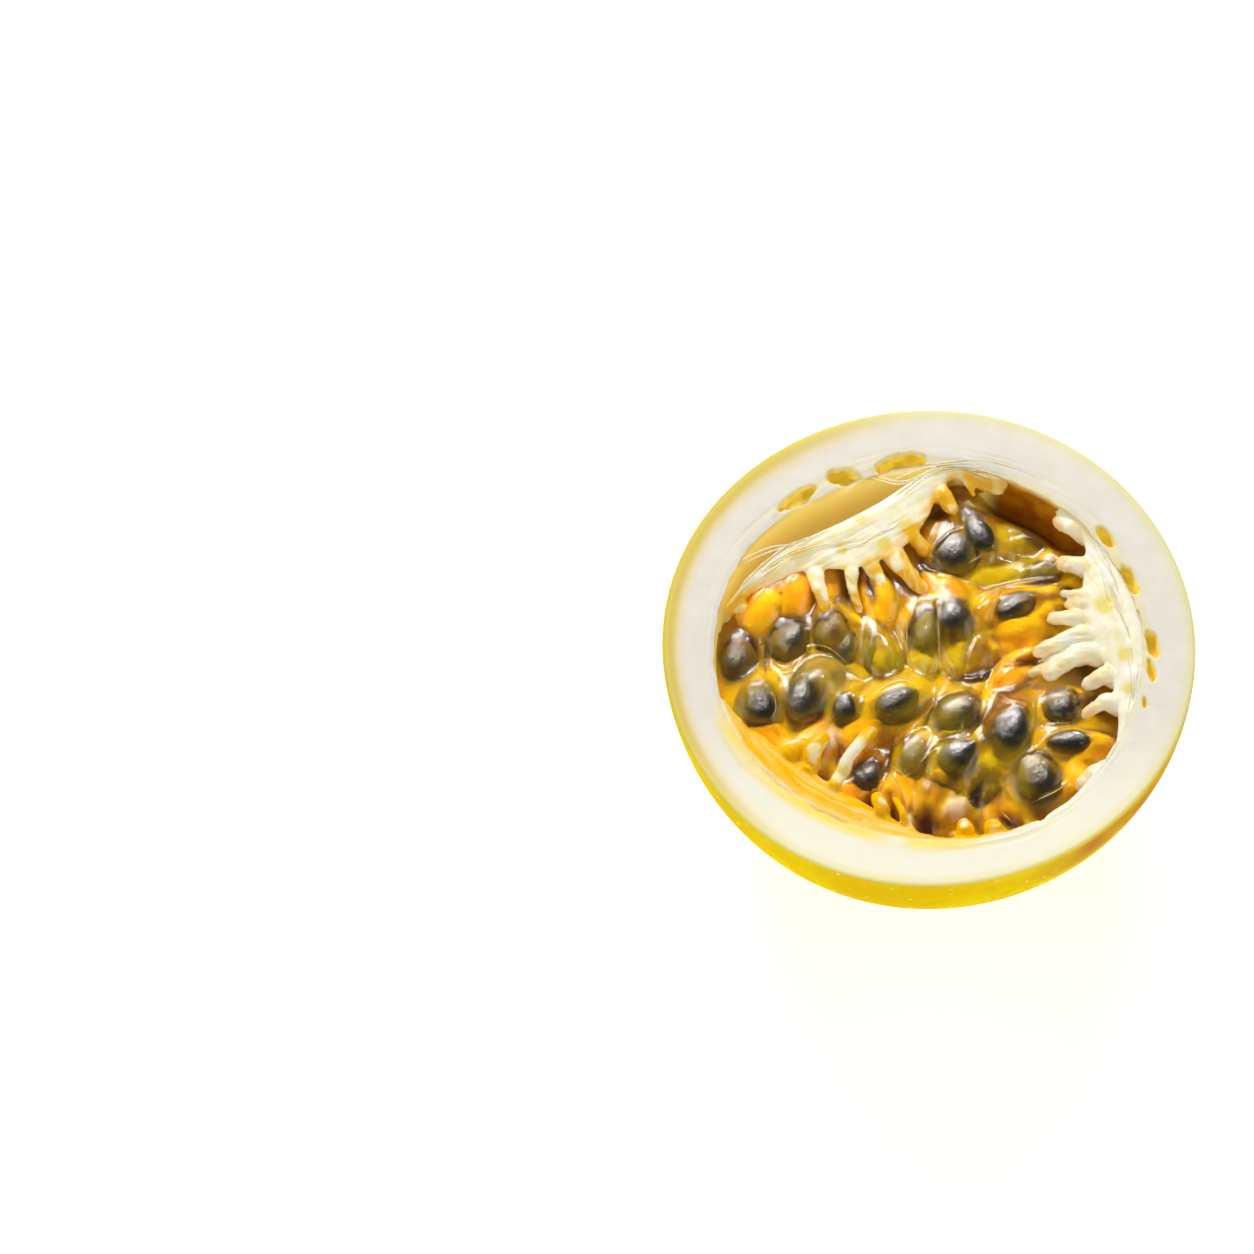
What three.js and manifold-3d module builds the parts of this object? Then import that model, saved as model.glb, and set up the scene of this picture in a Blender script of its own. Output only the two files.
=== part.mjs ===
// Half of a yellow passion fruit, cut across at its widest and lying on its round back with the cut up.
// The rind is a thick cup. Three seed-bearing membranes line it, two of them partly come away from the
// wall, and soft finger-like stalks run from them to the juice sacs of the pulp, each with its seed.
// Millimetres, +Z up. The origin is the centre of the small flat spot that the half rests on.
import * as THREE from "three";
import { mergeVertices } from "three/addons/utils/BufferGeometryUtils.js";
import Module from "manifold-3d";

const wasm = await Module();
wasm.setup();

// ---- driving dimensions ----
const FRUIT_RADIUS = 35; // at the cut, which is the fruit's equator
const CUT_HEIGHT = 36.5; // of the cut face above the resting spot
const FRUIT_DEPTH = 37; // from the cut to where the pole would be without the flat spot
const LUMPS = [[2, 0.006, 0.7], [4, 0.003, 2.0]]; // waves round the fruit, share of the radius, phase

const CAVITY_RADIUS = 27.5;
const CAVITY_DEPTH = 29.5;
const CAVITY_X = 0.9; // the seed cavity isn't quite in the middle of the fruit
const CAVITY_Y = -1.2;

const GAP = 0.3; // between neighbouring solids
const SHEET = 1.1; // thickness of a membrane
const CORE_DROP = 4.3; // the pulp's inner mass stops this far below the cut
const BEYOND = 60; // reaches outside the fruit, for cutters

// Torn pockets in the spongy inner edge of the rind: x, y, half length, half width, turn in degrees, depth.
const POCKETS = [
  [-11.2, 24.7, 2.1, 1.25, 0, 1.9],
  [-3.2, 26.6, 3.4, 1.6, 12, 2.4],
  [-17.2, 21.6, 2.9, 1.0, 33, 1.2],
  [23.6, 15.6, 1.7, 0.8, -58, 1.8],
  [26.5, 9.4, 2.3, 1.0, -66, 2.0],
  [29.4, 0.0, 1.9, 0.8, -75, 1.8],
  [29.2, -4.0, 1.5, 0.7, -80, 1.4],
];

// Each membrane follows the outer edge of its band: x, y, width of the band there.
const LEFT_EDGE = [
  [-26.8, 5.8, 1.4], [-22.7, 11.0, 2.4], [-18.8, 14.4, 3.6], [-14.8, 16.6, 5.2],
  [-8.2, 20.2, 7.0], [-3.6, 23.0, 5.8], [0.6, 25.4, 3.0],
];
const RIGHT_EDGE = [
  [22.2, 16.2, 1.8], [24.8, 11.5, 4.2], [26.8, 5.6, 6.4], [28.0, 0.6, 6.0],
  [28.2, -5.2, 4.0], [27.4, -10.8, 2.6], [25.2, -16.0, 2.2], [22.4, -20.2, 1.8],
];
const FRONT_EDGE = [
  [-25.0, -11.6, 2.0], [-20.6, -18.3, 4.8], [-13.0, -24.2, 5.0], [-6.0, -27.2, 3.6],
  [0.6, -28.2, 2.2], [8.4, -27.4, 1.8], [13.6, -25.2, 1.4],
];
// depth: how far the outer skirt hangs down; fall: how much lower the band's inner edge is than its outer one
const LEFT_BAND = { depth: 15, fall: 1.5 };
const RIGHT_BAND = { depth: 6, fall: 0.9 };
const FRONT_BAND = { depth: 7, fall: 2.2 };
const BAND_TOP = 0.25; // below the cut

// Stalks: root x, y, then tip x, y, radius, depth of the tip below the cut.
const LEFT_STALKS = [
  [-24.8, 6.6, -24.6, 4.2, 0.8, 2.2],
  [-14.6, 12.4, -13.4, 6.8, 0.9, 2.2],
  [-10.1, 12.4, -9.2, 6.6, 0.9, 2.0],
  [-8.0, 13.6, -5.2, 9.0, 1.0, 2.8],
  [-5.0, 15.0, -0.4, 9.2, 1.3, 2.0],
  [0.6, 24.2, 3.7, 20.6, 1.2, 1.7],
];
const RIGHT_STALKS = [
  [22.0, 16.4, 16.8, 19.4, 1.1, 1.4],
  [23.4, 11.7, 17.0, 13.1, 1.2, 1.6],
  [22.6, 7.4, 17.4, 8.2, 0.9, 1.5],
  [22.8, 4.4, 15.7, 4.5, 1.0, 1.3],
  [24.0, 2.0, 13.7, -0.6, 1.2, 1.4],
  [22.4, 0.0, 13.0, -3.2, 1.0, 2.7],
  [25.0, -0.4, 15.2, -4.0, 1.25, 1.3],
  [26.0, -4.0, 20.2, -5.2, 1.1, 1.6],
  [26.0, -8.0, 20.0, -9.7, 1.05, 1.5],
  [24.8, -17.2, 19.3, -20.0, 1.4, 1.5],
];
const FRONT_STALKS = [
  [-12.2, -19.4, -7.0, -11.3, 0.9, 1.5],
  [-15.9, -17.4, -13.6, -11.8, 1.25, 1.5],
  [-20.0, -16.2, -15.2, -13.4, 1.3, 2.0],
  [-5.6, -24.6, -6.9, -20.8, 0.85, 1.6],
  [-2.0, -26.2, -4.4, -21.2, 0.7, 2.0],
  [9.4, -26.4, 7.4, -25.2, 1.2, 1.2],
];

// Where the pulp has shrunk from the wall: angles from and to, width and depth of the groove left there.
const GROOVE = { from: 38, to: 74, width: 3.2, depth: 8 };

// Juice sacs that show: x, y, depth of the top below the cut, length, width, heading of the seed's end.
const SACS = [
  [-25.0, 0.8, 2.2, 9.0, 5.4, 268],
  [-18.8, 3.6, 2.4, 11.0, 6.2, 282],
  [-13.0, 4.2, 2.4, 9.5, 5.6, 284],
  [-22.1, -7.2, 1.3, 7.6, 6.2, 272],
  [-14.3, -4.4, 1.0, 8.8, 8.2, 245],
  [-10.2, -7.4, 2.0, 5.6, 4.6, 250],
  [-4.6, -7.0, 1.2, 10.0, 6.6, 22],
  [-0.6, 2.2, 2.0, 11.5, 4.8, 270],
  [3.4, 1.8, 1.6, 10.0, 5.2, 96],
  [-6.2, 0.8, 2.2, 10.5, 5.4, 285],
  [3.3, 15.4, 2.8, 8.6, 6.8, 228],
  [7.0, 19.0, 3.0, 7.2, 5.0, 120],
  [12.0, 17.0, 3.3, 9.5, 7.2, 15],
  [9.4, 12.2, 3.0, 10.5, 6.8, 5],
  [15.2, 12.0, 3.2, 9.0, 4.4, 195],
  [11.4, 7.2, 2.2, 9.2, 4.8, 195],
  [13.0, 3.0, 2.6, 9.5, 6.4, 180],
  [6.4, -0.4, 1.8, 9.5, 6.6, 250],
  [11.2, -2.4, 2.2, 8.4, 5.4, 228],
  [4.2, -9.4, 0.9, 8.6, 7.2, 222],
  [10.6, -12.0, 0.9, 9.6, 7.0, 238],
  [17.6, -7.8, 1.8, 7.6, 6.2, 215],
  [17.6, -12.8, 1.6, 9.0, 5.0, 180],
  [14.4, -18.4, 1.0, 9.2, 8.6, 240],
  [21.8, -13.8, 2.4, 6.6, 5.6, 190],
  [3.6, -15.8, 0.9, 8.4, 6.6, 222],
  [-1.6, -14.6, 1.6, 7.4, 5.6, 235],
  [0.8, -20.4, 1.8, 8.0, 6.4, 250],
  [-8.0, -16.8, 2.6, 7.6, 6.8, 260],
  [7.6, -18.6, 2.0, 7.6, 6.6, 250],
  [-20.8, -12.8, 1.8, 8.4, 6.4, 300],
  [9.4, -22.4, 2.0, 8.4, 6.4, 280],
  [19.6, -18.0, 2.0, 6.4, 5.6, 230],
  [-7.6, 8.4, 2.6, 10.0, 5.4, 286],
  [-3.2, 7.6, 2.8, 9.0, 5.0, 290],
  [1.8, 9.8, 2.6, 9.0, 6.0, 300],
  [18.6, 8.8, 3.2, 7.4, 5.4, 180],
  [0.8, 18.2, 3.0, 8.0, 5.6, 250],
  [18.2, 14.6, 3.4, 8.0, 6.0, 200],
  [-4.4, -21.4, 1.8, 8.0, 5.4, 75],
  [-11.2, -21.4, 2.0, 9.0, 6.0, 60],
  [-14.8, -13.6, 1.8, 8.4, 6.6, 250],
  [-8.6, -11.6, 2.2, 7.0, 5.6, 220],
  [18.4, -2.6, 3.4, 7.4, 5.6, 190],
  [-21.6, 5.8, 2.6, 7.4, 5.2, 255],
  [-16.2, 8.0, 3.0, 7.0, 4.6, 270],
];
const SAC_HEIGHT = 1.0; // thickness of a sac as a share of its width
const SAC_TAPER = 0.42; // how much narrower a sac is at its stalk than at its seed

// Seeds that stand a little out of their sacs: x, y, depth of the top below the cut, length, width, heading.
const SEEDS = [
  [-25.0, 0.0, 2.0, 5.4, 4.2, 85],
  [-18.4, 2.4, 2.2, 5.4, 4.4, 60],
  [-12.6, 3.6, 2.2, 5.0, 4.0, 70],
  [-22.1, -7.6, 1.0, 5.6, 4.4, 80],
  [-15.8, -7.0, 0.9, 5.2, 4.4, 85],
  [-10.6, -7.4, 1.7, 3.6, 3.0, 70],
  [-4.2, -7.4, 0.9, 6.0, 3.8, 30],
  [-0.4, 2.6, 1.8, 5.8, 3.2, 95],
  [3.6, 4.8, 1.2, 4.6, 4.0, 90],
  [3.2, 14.6, 2.4, 5.4, 4.2, 45],
  [6.6, 18.8, 2.7, 5.6, 3.4, 120],
  [14.8, 12.0, 2.9, 6.0, 2.6, 15],
  [11.4, 7.2, 1.9, 6.4, 3.0, 18],
  [4.4, -8.6, 0.7, 6.0, 4.4, 42],
  [10.8, -11.4, 0.6, 6.6, 4.6, 58],
  [17.6, -7.9, 1.5, 5.4, 4.0, 48],
  [18.2, -12.8, 1.3, 6.2, 3.2, 175],
  [14.3, -18.0, 0.7, 5.4, 5.0, 90],
  [3.8, -15.6, 0.6, 5.6, 4.4, 42],
  [-1.6, -14.8, 1.3, 5.4, 3.8, 55],
  [-7.9, -17.0, 2.3, 4.6, 3.8, 60],
  [1.0, -20.4, 1.7, 5.4, 4.0, 80],
];
const SEED_HEIGHT = 0.6; // thickness of a seed as a share of its width
const SEED_TAPER = 0.15;

// ---- tools ----
// A closed three.js geometry as a manifold-3d solid.
function solid(geometry) {
  const bare = geometry.clone();
  bare.deleteAttribute("normal");
  bare.deleteAttribute("uv");
  const merged = mergeVertices(bare, 1e-4);
  const mesh = new wasm.Mesh({
    numProp: 3,
    vertProperties: new Float32Array(merged.attributes.position.array),
    triVerts: new Uint32Array(merged.index.array),
  });
  const made = new wasm.Manifold(mesh);
  return made.volume() < 0 ? solid(turnedOut(merged)) : made;
}

// The same geometry with every face turned round.
function turnedOut(geometry) {
  const index = geometry.index.array;
  for (let i = 0; i < index.length; i += 3) [index[i + 1], index[i + 2]] = [index[i + 2], index[i + 1]];
  return geometry;
}

// Applies a function that changes each point of a geometry in place.
function reshaped(geometry, change) {
  const place = geometry.attributes.position;
  const point = new THREE.Vector3();
  for (let i = 0; i < place.count; i++) {
    point.fromBufferAttribute(place, i);
    change(point);
    place.setXYZ(i, point.x, point.y, point.z);
  }
  return geometry;
}

const joined = (solids) => solids.reduce((whole, next) => whole.add(next));

// The largest of the bodies that a cut leaves: loose scraps are dropped.
function largest(body) {
  return body.decompose().reduce((best, next) => (next.volume() > best.volume() ? next : best));
}

// A manifold-3d solid as a named mesh with flat faces.
function meshOf(name, body, finish) {
  const made = body.getMesh();
  const place = new Float32Array(made.numVert * 3);
  for (let i = 0; i < made.numVert; i++) {
    place.set(made.vertProperties.subarray(i * made.numProp, i * made.numProp + 3), i * 3);
  }
  const geometry = new THREE.BufferGeometry();
  geometry.setAttribute("position", new THREE.BufferAttribute(place, 3));
  geometry.setIndex(new THREE.BufferAttribute(made.triVerts, 1));
  geometry.computeVertexNormals();
  const mesh = new THREE.Mesh(geometry, new THREE.MeshStandardMaterial(finish));
  mesh.name = name;
  return mesh;
}

// A round body about the Z axis from a closed profile of [radius, height] points.
function turned(profile, segments) {
  const lathe = new THREE.LatheGeometry(profile.map(([r, z]) => new THREE.Vector2(r, z)), segments);
  return lathe.rotateX(Math.PI / 2); // the lathe's Y axis becomes Z
}

// ---- rind ----
function outerBody() {
  const steps = 11;
  const flatRadius = FRUIT_RADIUS * Math.sqrt(1 - (CUT_HEIGHT / FRUIT_DEPTH) ** 2);
  const from = Math.acos(flatRadius / FRUIT_RADIUS);
  const profile = [[0, 0]];
  for (let i = 0; i <= steps; i++) {
    const angle = from * (1 - i / steps);
    profile.push([FRUIT_RADIUS * Math.cos(angle), CUT_HEIGHT - FRUIT_DEPTH * Math.sin(angle)]);
  }
  profile.push([0, CUT_HEIGHT]);
  profile[1][1] = 0;
  return solid(reshaped(turned(profile, 60), (p) => {
    const round = Math.atan2(p.y, p.x);
    const scale = 1 + LUMPS.reduce((sum, [waves, share, phase]) => sum + share * Math.cos(waves * round + phase), 0);
    p.x *= scale;
    p.y *= scale;
  }));
}

// The seed cavity, drawn in by a margin all round and open past the cut.
function cavity(margin) {
  const steps = 8;
  const radius = CAVITY_RADIUS - margin;
  const depth = CAVITY_DEPTH - margin;
  const profile = [];
  for (let i = 0; i <= steps; i++) {
    const angle = (Math.PI / 2) * (1 - i / steps);
    profile.push([radius * Math.cos(angle), CUT_HEIGHT - depth * Math.sin(angle)]);
  }
  profile.push([radius, CUT_HEIGHT + 5], [0, CUT_HEIGHT + 5]);
  profile[0][0] = 0;
  return solid(turned(profile, 48).translate(CAVITY_X, CAVITY_Y, 0));
}

function pocket([x, y, long, wide, turn, deep]) {
  const shape = new THREE.SphereGeometry(1, 8, 6).scale(long, wide, deep);
  return solid(shape.rotateZ(THREE.MathUtils.degToRad(turn)).translate(x, y, CUT_HEIGHT));
}

// ---- membranes ----
// Corners of a polygon moved outwards by a distance.
function grown(corners, by) {
  const count = corners.length;
  return corners.map((corner, i) => {
    const before = corners[(i + count - 1) % count].clone().sub(corner).normalize();
    const after = corners[(i + 1) % count].clone().sub(corner).normalize();
    const out = new THREE.Vector2(after.y - before.y, before.x - after.x).normalize();
    const sine = Math.max(0.5, Math.abs(before.x * out.y - before.y * out.x));
    return corner.clone().addScaledVector(out, by / sine);
  });
}

// Section of a membrane, inwards from its outer edge and upwards: a skirt with a band bent in from its top.
function bandSection(width, { depth, fall }, grow) {
  const corners = [
    [0, -depth], [SHEET, -depth], [SHEET, -SHEET - 0.9], [width, -fall - SHEET],
    [width + 0.3, -fall - 0.4], [width, -fall], [0.9, 0], [0, -0.7],
  ].map(([n, z]) => new THREE.Vector2(n, z - BAND_TOP));
  return grow ? grown(corners, grow) : corners;
}

// A closed body through a row of equal closed sections of points in space.
function skinned(sections, flatSection) {
  const corners = sections[0].length;
  const positions = sections.flat().flatMap((p) => [p.x, p.y, p.z]);
  const index = [];
  for (let s = 0; s + 1 < sections.length; s++) {
    for (let c = 0; c < corners; c++) {
      const a = s * corners + c;
      const b = s * corners + ((c + 1) % corners);
      index.push(a, b, b + corners, a, b + corners, a + corners);
    }
  }
  const last = (sections.length - 1) * corners;
  for (const [a, b, c] of THREE.ShapeUtils.triangulateShape(flatSection, [])) {
    index.push(a, c, b, last + a, last + b, last + c);
  }
  const geometry = new THREE.BufferGeometry();
  geometry.setAttribute("position", new THREE.Float32BufferAttribute(positions, 3));
  geometry.setIndex(index);
  return geometry;
}

// The band along an edge. The edge's third number, its width there, rides along the curve as z.
function band(edge, shape, grow) {
  const curve = new THREE.CatmullRomCurve3(edge.map((p) => new THREE.Vector3(...p)));
  const steps = 12;
  const sections = [];
  for (let i = 0; i <= steps; i++) {
    const at = curve.getPointAt(i / steps);
    const along = curve.getTangentAt(i / steps);
    along.z = 0;
    along.normalize();
    const inward = new THREE.Vector3(-along.y, along.x, 0);
    if (inward.dot(at) > 0) inward.negate();
    const end = i === 0 ? -grow : i === steps ? grow : 0;
    sections.push(bandSection(at.z, shape, grow).map((c) => new THREE.Vector3(
      at.x + inward.x * c.x + along.x * end,
      at.y + inward.y * c.x + along.y * end,
      CUT_HEIGHT + c.y,
    )));
  }
  return solid(skinned(sections, bandSection(edge[0][2], shape, grow)));
}

// A stalk with a rounded tip, bowed upwards a little between its root in the band and its tip.
function stalk([rootX, rootY, tipX, tipY, radius, tipDepth], grow) {
  const size = radius + grow;
  const root = new THREE.Vector3(rootX, rootY, CUT_HEIGHT - BAND_TOP - 1.3);
  const tip = new THREE.Vector3(tipX, tipY, CUT_HEIGHT - tipDepth - radius);
  const middle = root.clone().lerp(tip, 0.5);
  middle.z = Math.min(middle.z + 0.8, CUT_HEIGHT - 0.1 - radius);
  const line = new THREE.QuadraticBezierCurve3(root, middle, tip);
  const long = line.getLength() + grow;
  const profile = [[0, 0], [size * 1.15, 0], [size * 0.9, long * 0.5], [size, long - size * 0.6],
    [size * 0.7, long - size * 0.15], [0, long]];
  const up = new THREE.Vector3(0, 0, 1);
  return solid(reshaped(turned(profile, 6), (p) => {
    const share = Math.min(1, p.z / long);
    const at = line.getPoint(share);
    const along = line.getTangent(share);
    const side = new THREE.Vector3().crossVectors(along, up).normalize();
    const over = new THREE.Vector3().crossVectors(side, along);
    const { x, y } = p;
    p.copy(at).addScaledVector(side, x).addScaledVector(over, y);
    if (share === 1) p.addScaledVector(along, grow);
  }));
}

// A membrane with its stalks, grown by a margin when it is used as a cutter.
function membrane(edge, shape, stalks, grow = 0) {
  return joined([band(edge, shape, grow), ...stalks.map((row) => stalk(row, grow))]);
}

// ---- pulp ----
// An ellipsoid that narrows towards its tail, lying along a heading with its top at a depth.
function drop([x, y, depth, long, wide, heading], height, taper, around, rings) {
  const high = wide * height;
  const shape = new THREE.SphereGeometry(1, around, rings).rotateZ(Math.PI / 2);
  reshaped(shape, (p) => {
    const narrow = 1 - taper * ((1 - p.x) / 2) ** 1.4;
    p.set((p.x * long) / 2, (p.y * narrow * wide) / 2, (p.z * narrow * high) / 2);
  });
  shape.rotateZ(THREE.MathUtils.degToRad(heading));
  return solid(shape.translate(x, y, CUT_HEIGHT - depth - high / 2));
}

// Everything on the outer side of the left membrane. It leaves an empty crescent by the wall, which
// closes where the wall curves in under the membrane.
function crescent() {
  const curve = new THREE.CatmullRomCurve3(LEFT_EDGE.map(([x, y]) => new THREE.Vector3(x, y, 0)));
  const points = curve.getPoints(12);
  const first = points[0];
  const last = points[points.length - 1];
  const outline = new THREE.Shape(points.map((p) => new THREE.Vector2(p.x, p.y)));
  outline.lineTo(last.x, BEYOND);
  outline.lineTo(-BEYOND, BEYOND);
  outline.lineTo(-BEYOND, first.y);
  return solid(new THREE.ExtrudeGeometry(outline, { depth: BEYOND, bevelEnabled: false }));
}

// The groove by the wall: a row of upright pods along an arc, merged.
function groove() {
  const pods = 5;
  const radius = CAVITY_RADIUS - GROOVE.width / 2;
  const shapes = [];
  for (let i = 0; i < pods; i++) {
    const angle = THREE.MathUtils.degToRad(THREE.MathUtils.lerp(GROOVE.from, GROOVE.to, i / (pods - 1)));
    const shape = new THREE.SphereGeometry(1, 8, 6).rotateX(Math.PI / 2);
    shape.scale(GROOVE.width * 0.75, 4.2, GROOVE.depth).rotateZ(angle);
    const x = CAVITY_X + radius * Math.cos(angle);
    const y = CAVITY_Y + radius * Math.sin(angle);
    shapes.push(solid(shape.translate(x, y, CUT_HEIGHT)));
  }
  return joined(shapes);
}

function pulp(membraneCutters) {
  const coreTop = CUT_HEIGHT - CORE_DROP;
  const core = solid(new THREE.BoxGeometry(BEYOND, BEYOND, coreTop).translate(CAVITY_X, CAVITY_Y, coreTop / 2));
  const sacs = SACS.map((row) => drop(row, SAC_HEIGHT, SAC_TAPER, 8, 6));
  const seeds = SEEDS.map((row) => drop(row, SEED_HEIGHT, SEED_TAPER, 6, 4));
  const heap = joined([core.subtract(groove()), ...sacs, ...seeds]).intersect(cavity(GAP));
  return largest([crescent(), ...membraneCutters].reduce((left, cutter) => left.subtract(cutter), heap));
}

// ---- the half ----
const rindBody = [cavity(0), ...POCKETS.map(pocket)].reduce((left, cutter) => left.subtract(cutter), outerBody());
const bands = [
  ["membrane_left", LEFT_EDGE, LEFT_BAND, LEFT_STALKS],
  ["membrane_right", RIGHT_EDGE, RIGHT_BAND, RIGHT_STALKS],
  ["membrane_front", FRONT_EDGE, FRONT_BAND, FRONT_STALKS],
];

const half = new THREE.Group();
half.name = "passion_fruit_half";
half.add(meshOf("rind", rindBody, { color: 0xf1c40f, roughness: 0.45, metalness: 0 }));
for (const [name, edge, shape, stalks] of bands) {
  const body = largest(membrane(edge, shape, stalks).intersect(cavity(GAP)));
  half.add(meshOf(name, body, { color: 0xf0e8c8, roughness: 0.55, metalness: 0 }));
}
const cutters = bands.map(([, edge, shape, stalks]) => membrane(edge, shape, stalks, GAP));
half.add(meshOf("pulp", pulp(cutters), { color: 0xd08a10, roughness: 0.15, metalness: 0 }));

export default half;
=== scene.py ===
"""The looks of half a yellow passion fruit that lies on its round back with the cut up.

Shapes are worked out in millimetres in the part's own frame, and become metres as a mesh is made.
"""
import itertools
import math

import bpy
import numpy as np
from mathutils import Matrix, Vector


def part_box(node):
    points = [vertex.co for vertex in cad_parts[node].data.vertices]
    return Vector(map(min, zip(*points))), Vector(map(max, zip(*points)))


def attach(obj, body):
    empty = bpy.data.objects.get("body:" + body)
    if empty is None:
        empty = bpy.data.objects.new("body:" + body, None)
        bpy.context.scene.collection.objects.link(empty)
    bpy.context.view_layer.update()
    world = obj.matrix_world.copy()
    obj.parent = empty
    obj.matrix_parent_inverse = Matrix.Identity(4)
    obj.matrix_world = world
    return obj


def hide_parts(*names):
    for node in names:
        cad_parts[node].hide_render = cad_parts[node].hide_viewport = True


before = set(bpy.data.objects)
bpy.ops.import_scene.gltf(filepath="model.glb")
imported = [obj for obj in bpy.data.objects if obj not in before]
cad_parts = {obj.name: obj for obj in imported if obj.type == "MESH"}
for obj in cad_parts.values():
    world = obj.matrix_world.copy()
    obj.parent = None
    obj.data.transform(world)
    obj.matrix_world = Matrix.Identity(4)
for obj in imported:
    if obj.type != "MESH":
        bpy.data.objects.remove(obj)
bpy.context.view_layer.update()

MM = 0.001
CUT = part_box("rind")[1].z / MM  # height of the cut face

# ---- the rind's sizes ----
RADIUS = 35.0  # of the fruit at the cut
DEPTH = 37.0  # from the cut to where the pole would be without the flat spot
CAVITY_DEPTH = 29.5
LUMPS = ((2, 0.006, 0.7), (4, 0.003, 2.0))  # waves round the fruit, share of the radius, phase
RIND_COLUMNS = 760  # points round the rind
LIP = 0.2  # how far the cavity's edge is rounded down
TORN_REACH = 0.9  # how far down the wall its torn edge fades
BEVEL = 0.12  # between the cut and the skin

# The cavity's edge on the cut: direction in degrees, distance from the middle.
CAVITY_EDGE = (
    (0, 28.3), (24, 27.3), (42, 26.9), (66, 26.5), (90, 26.5), (106, 25.9), (120, 25.9), (134, 26.8),
    (152, 27.8), (168, 28.1), (190, 28.3), (212, 28.5), (234, 28.0), (254, 28.0), (276, 28.4), (298, 29.3),
    (322, 28.5), (342, 28.3),
)
# Torn pockets in the rind's spongy inner edge: x, y, half length, half width, turn in degrees, depth.
POCKETS = (
    (-11.2, 24.7, 2.1, 1.25, 0, 2.6), (-3.2, 26.6, 3.4, 1.6, 12, 3.4), (-17.2, 21.6, 2.9, 1.0, 33, 1.5),
    (23.6, 15.6, 1.7, 0.75, -58, 2.4), (26.5, 9.4, 2.3, 1.0, -66, 2.8), (27.6, 3.6, 1.5, 0.45, -74, 1.6),
    (29.4, 0.0, 1.9, 0.75, -75, 2.4), (29.2, -4.0, 1.5, 0.5, -80, 1.8), (28.3, -8.6, 0.9, 0.3, -85, 1.2),
)

# ---- the pulp's sizes ----
# Juice sacs: x, y, depth of the top, length, width, heading of the seed's end, how olive (0 is orange).
SACS = (
    (-25.0, 0.8, 2.2, 9.0, 5.4, 268, 0.25), (-18.8, 3.6, 2.4, 11.0, 6.2, 282, 0.2),
    (-13.0, 4.2, 2.4, 9.5, 5.6, 284, 0.35), (-22.1, -7.2, 1.3, 7.6, 6.2, 272, 0.75),
    (-14.3, -4.2, 0.6, 9.0, 8.0, 245, 0.9), (-10.2, -7.4, 2.0, 5.6, 4.6, 250, 0.7),
    (-4.6, -7.0, 1.2, 10.0, 6.6, 22, 0.85), (-0.6, 2.2, 2.0, 11.5, 4.8, 270, 0.9),
    (3.4, 1.8, 1.6, 10.0, 5.2, 96, 0.9), (-6.2, 0.8, 2.2, 10.5, 5.4, 285, 0.85),
    (3.3, 15.4, 2.8, 8.6, 6.8, 228, 0.7), (7.0, 19.0, 3.0, 7.2, 5.0, 120, 0.5),
    (12.0, 17.0, 3.3, 9.5, 7.2, 15, 0.9), (9.4, 12.2, 3.0, 10.5, 6.8, 5, 1.0),
    (15.2, 12.0, 3.2, 9.0, 4.4, 195, 0.85), (11.4, 7.2, 2.2, 9.2, 4.8, 195, 0.3),
    (13.0, 3.0, 2.6, 9.5, 6.4, 180, 0.05), (6.4, -0.4, 1.8, 9.5, 6.6, 250, 0.95),
    (11.2, -2.4, 2.2, 8.4, 5.4, 228, 0.05), (4.2, -9.4, 0.9, 8.6, 7.2, 222, 0.95),
    (10.6, -12.0, 0.9, 9.6, 7.0, 238, 0.7), (17.6, -7.8, 1.8, 7.6, 6.2, 215, 0.3),
    (17.6, -12.8, 1.6, 9.0, 5.0, 180, 0.35), (14.4, -18.4, 1.0, 9.2, 8.6, 240, 0.75),
    (21.8, -13.8, 2.4, 6.6, 5.6, 190, 0.0), (3.6, -15.8, 0.9, 8.4, 6.6, 222, 0.8),
    (-1.6, -14.6, 1.6, 7.4, 5.6, 235, 0.7), (0.8, -20.4, 1.8, 8.0, 6.4, 250, 0.25),
    (-8.0, -16.8, 2.6, 7.6, 6.8, 260, 0.05), (7.6, -18.6, 2.0, 7.6, 6.6, 250, 0.8),
    (-20.8, -12.8, 1.8, 8.4, 6.4, 300, 0.05), (9.4, -22.4, 2.0, 8.4, 6.4, 280, 0.3),
    (19.6, -18.0, 2.0, 6.4, 5.6, 230, 0.0), (-6.8, 9.2, 1.8, 9.6, 5.2, 286, 0.1),
    (-3.2, 7.6, 2.8, 9.0, 5.0, 290, 0.2), (1.8, 9.8, 2.6, 9.0, 6.0, 300, 0.1),
    (18.6, 8.8, 3.2, 7.4, 5.4, 180, 0.05), (0.8, 18.2, 3.0, 8.0, 5.6, 250, 0.0),
    (18.2, 14.6, 3.4, 8.0, 6.0, 200, 0.05), (-4.4, -21.4, 1.8, 8.0, 5.4, 75, 0.1),
    (-11.2, -21.4, 2.0, 9.0, 6.0, 60, 0.0), (-14.8, -13.6, 1.8, 8.4, 6.6, 250, 0.05),
    (-8.6, -11.6, 2.2, 7.0, 5.6, 220, 0.05), (18.4, -2.6, 3.4, 7.4, 5.6, 190, 0.0),
    (-21.8, 7.6, 1.0, 10.2, 6.8, 240, 0.0), (-18.0, 9.6, 1.1, 9.4, 6.8, 258, 0.0),
    (-13.6, 11.4, 2.3, 7.6, 4.8, 275, 0.05),
)
BUBBLE = 4  # the sac that stands up clear and swollen
SAC_TAPER = 0.42
SAC_RISE = 0.62  # of a sac over its edge, as a share of half its width
SEED_COVER = 0.42  # of gel over a seed
COVER_FALL = 0.09  # of the gel from a seed's middle to its edge, as a share of its width
CLOUDED = 0.52  # depth of gel that hides most of what is under it
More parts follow.
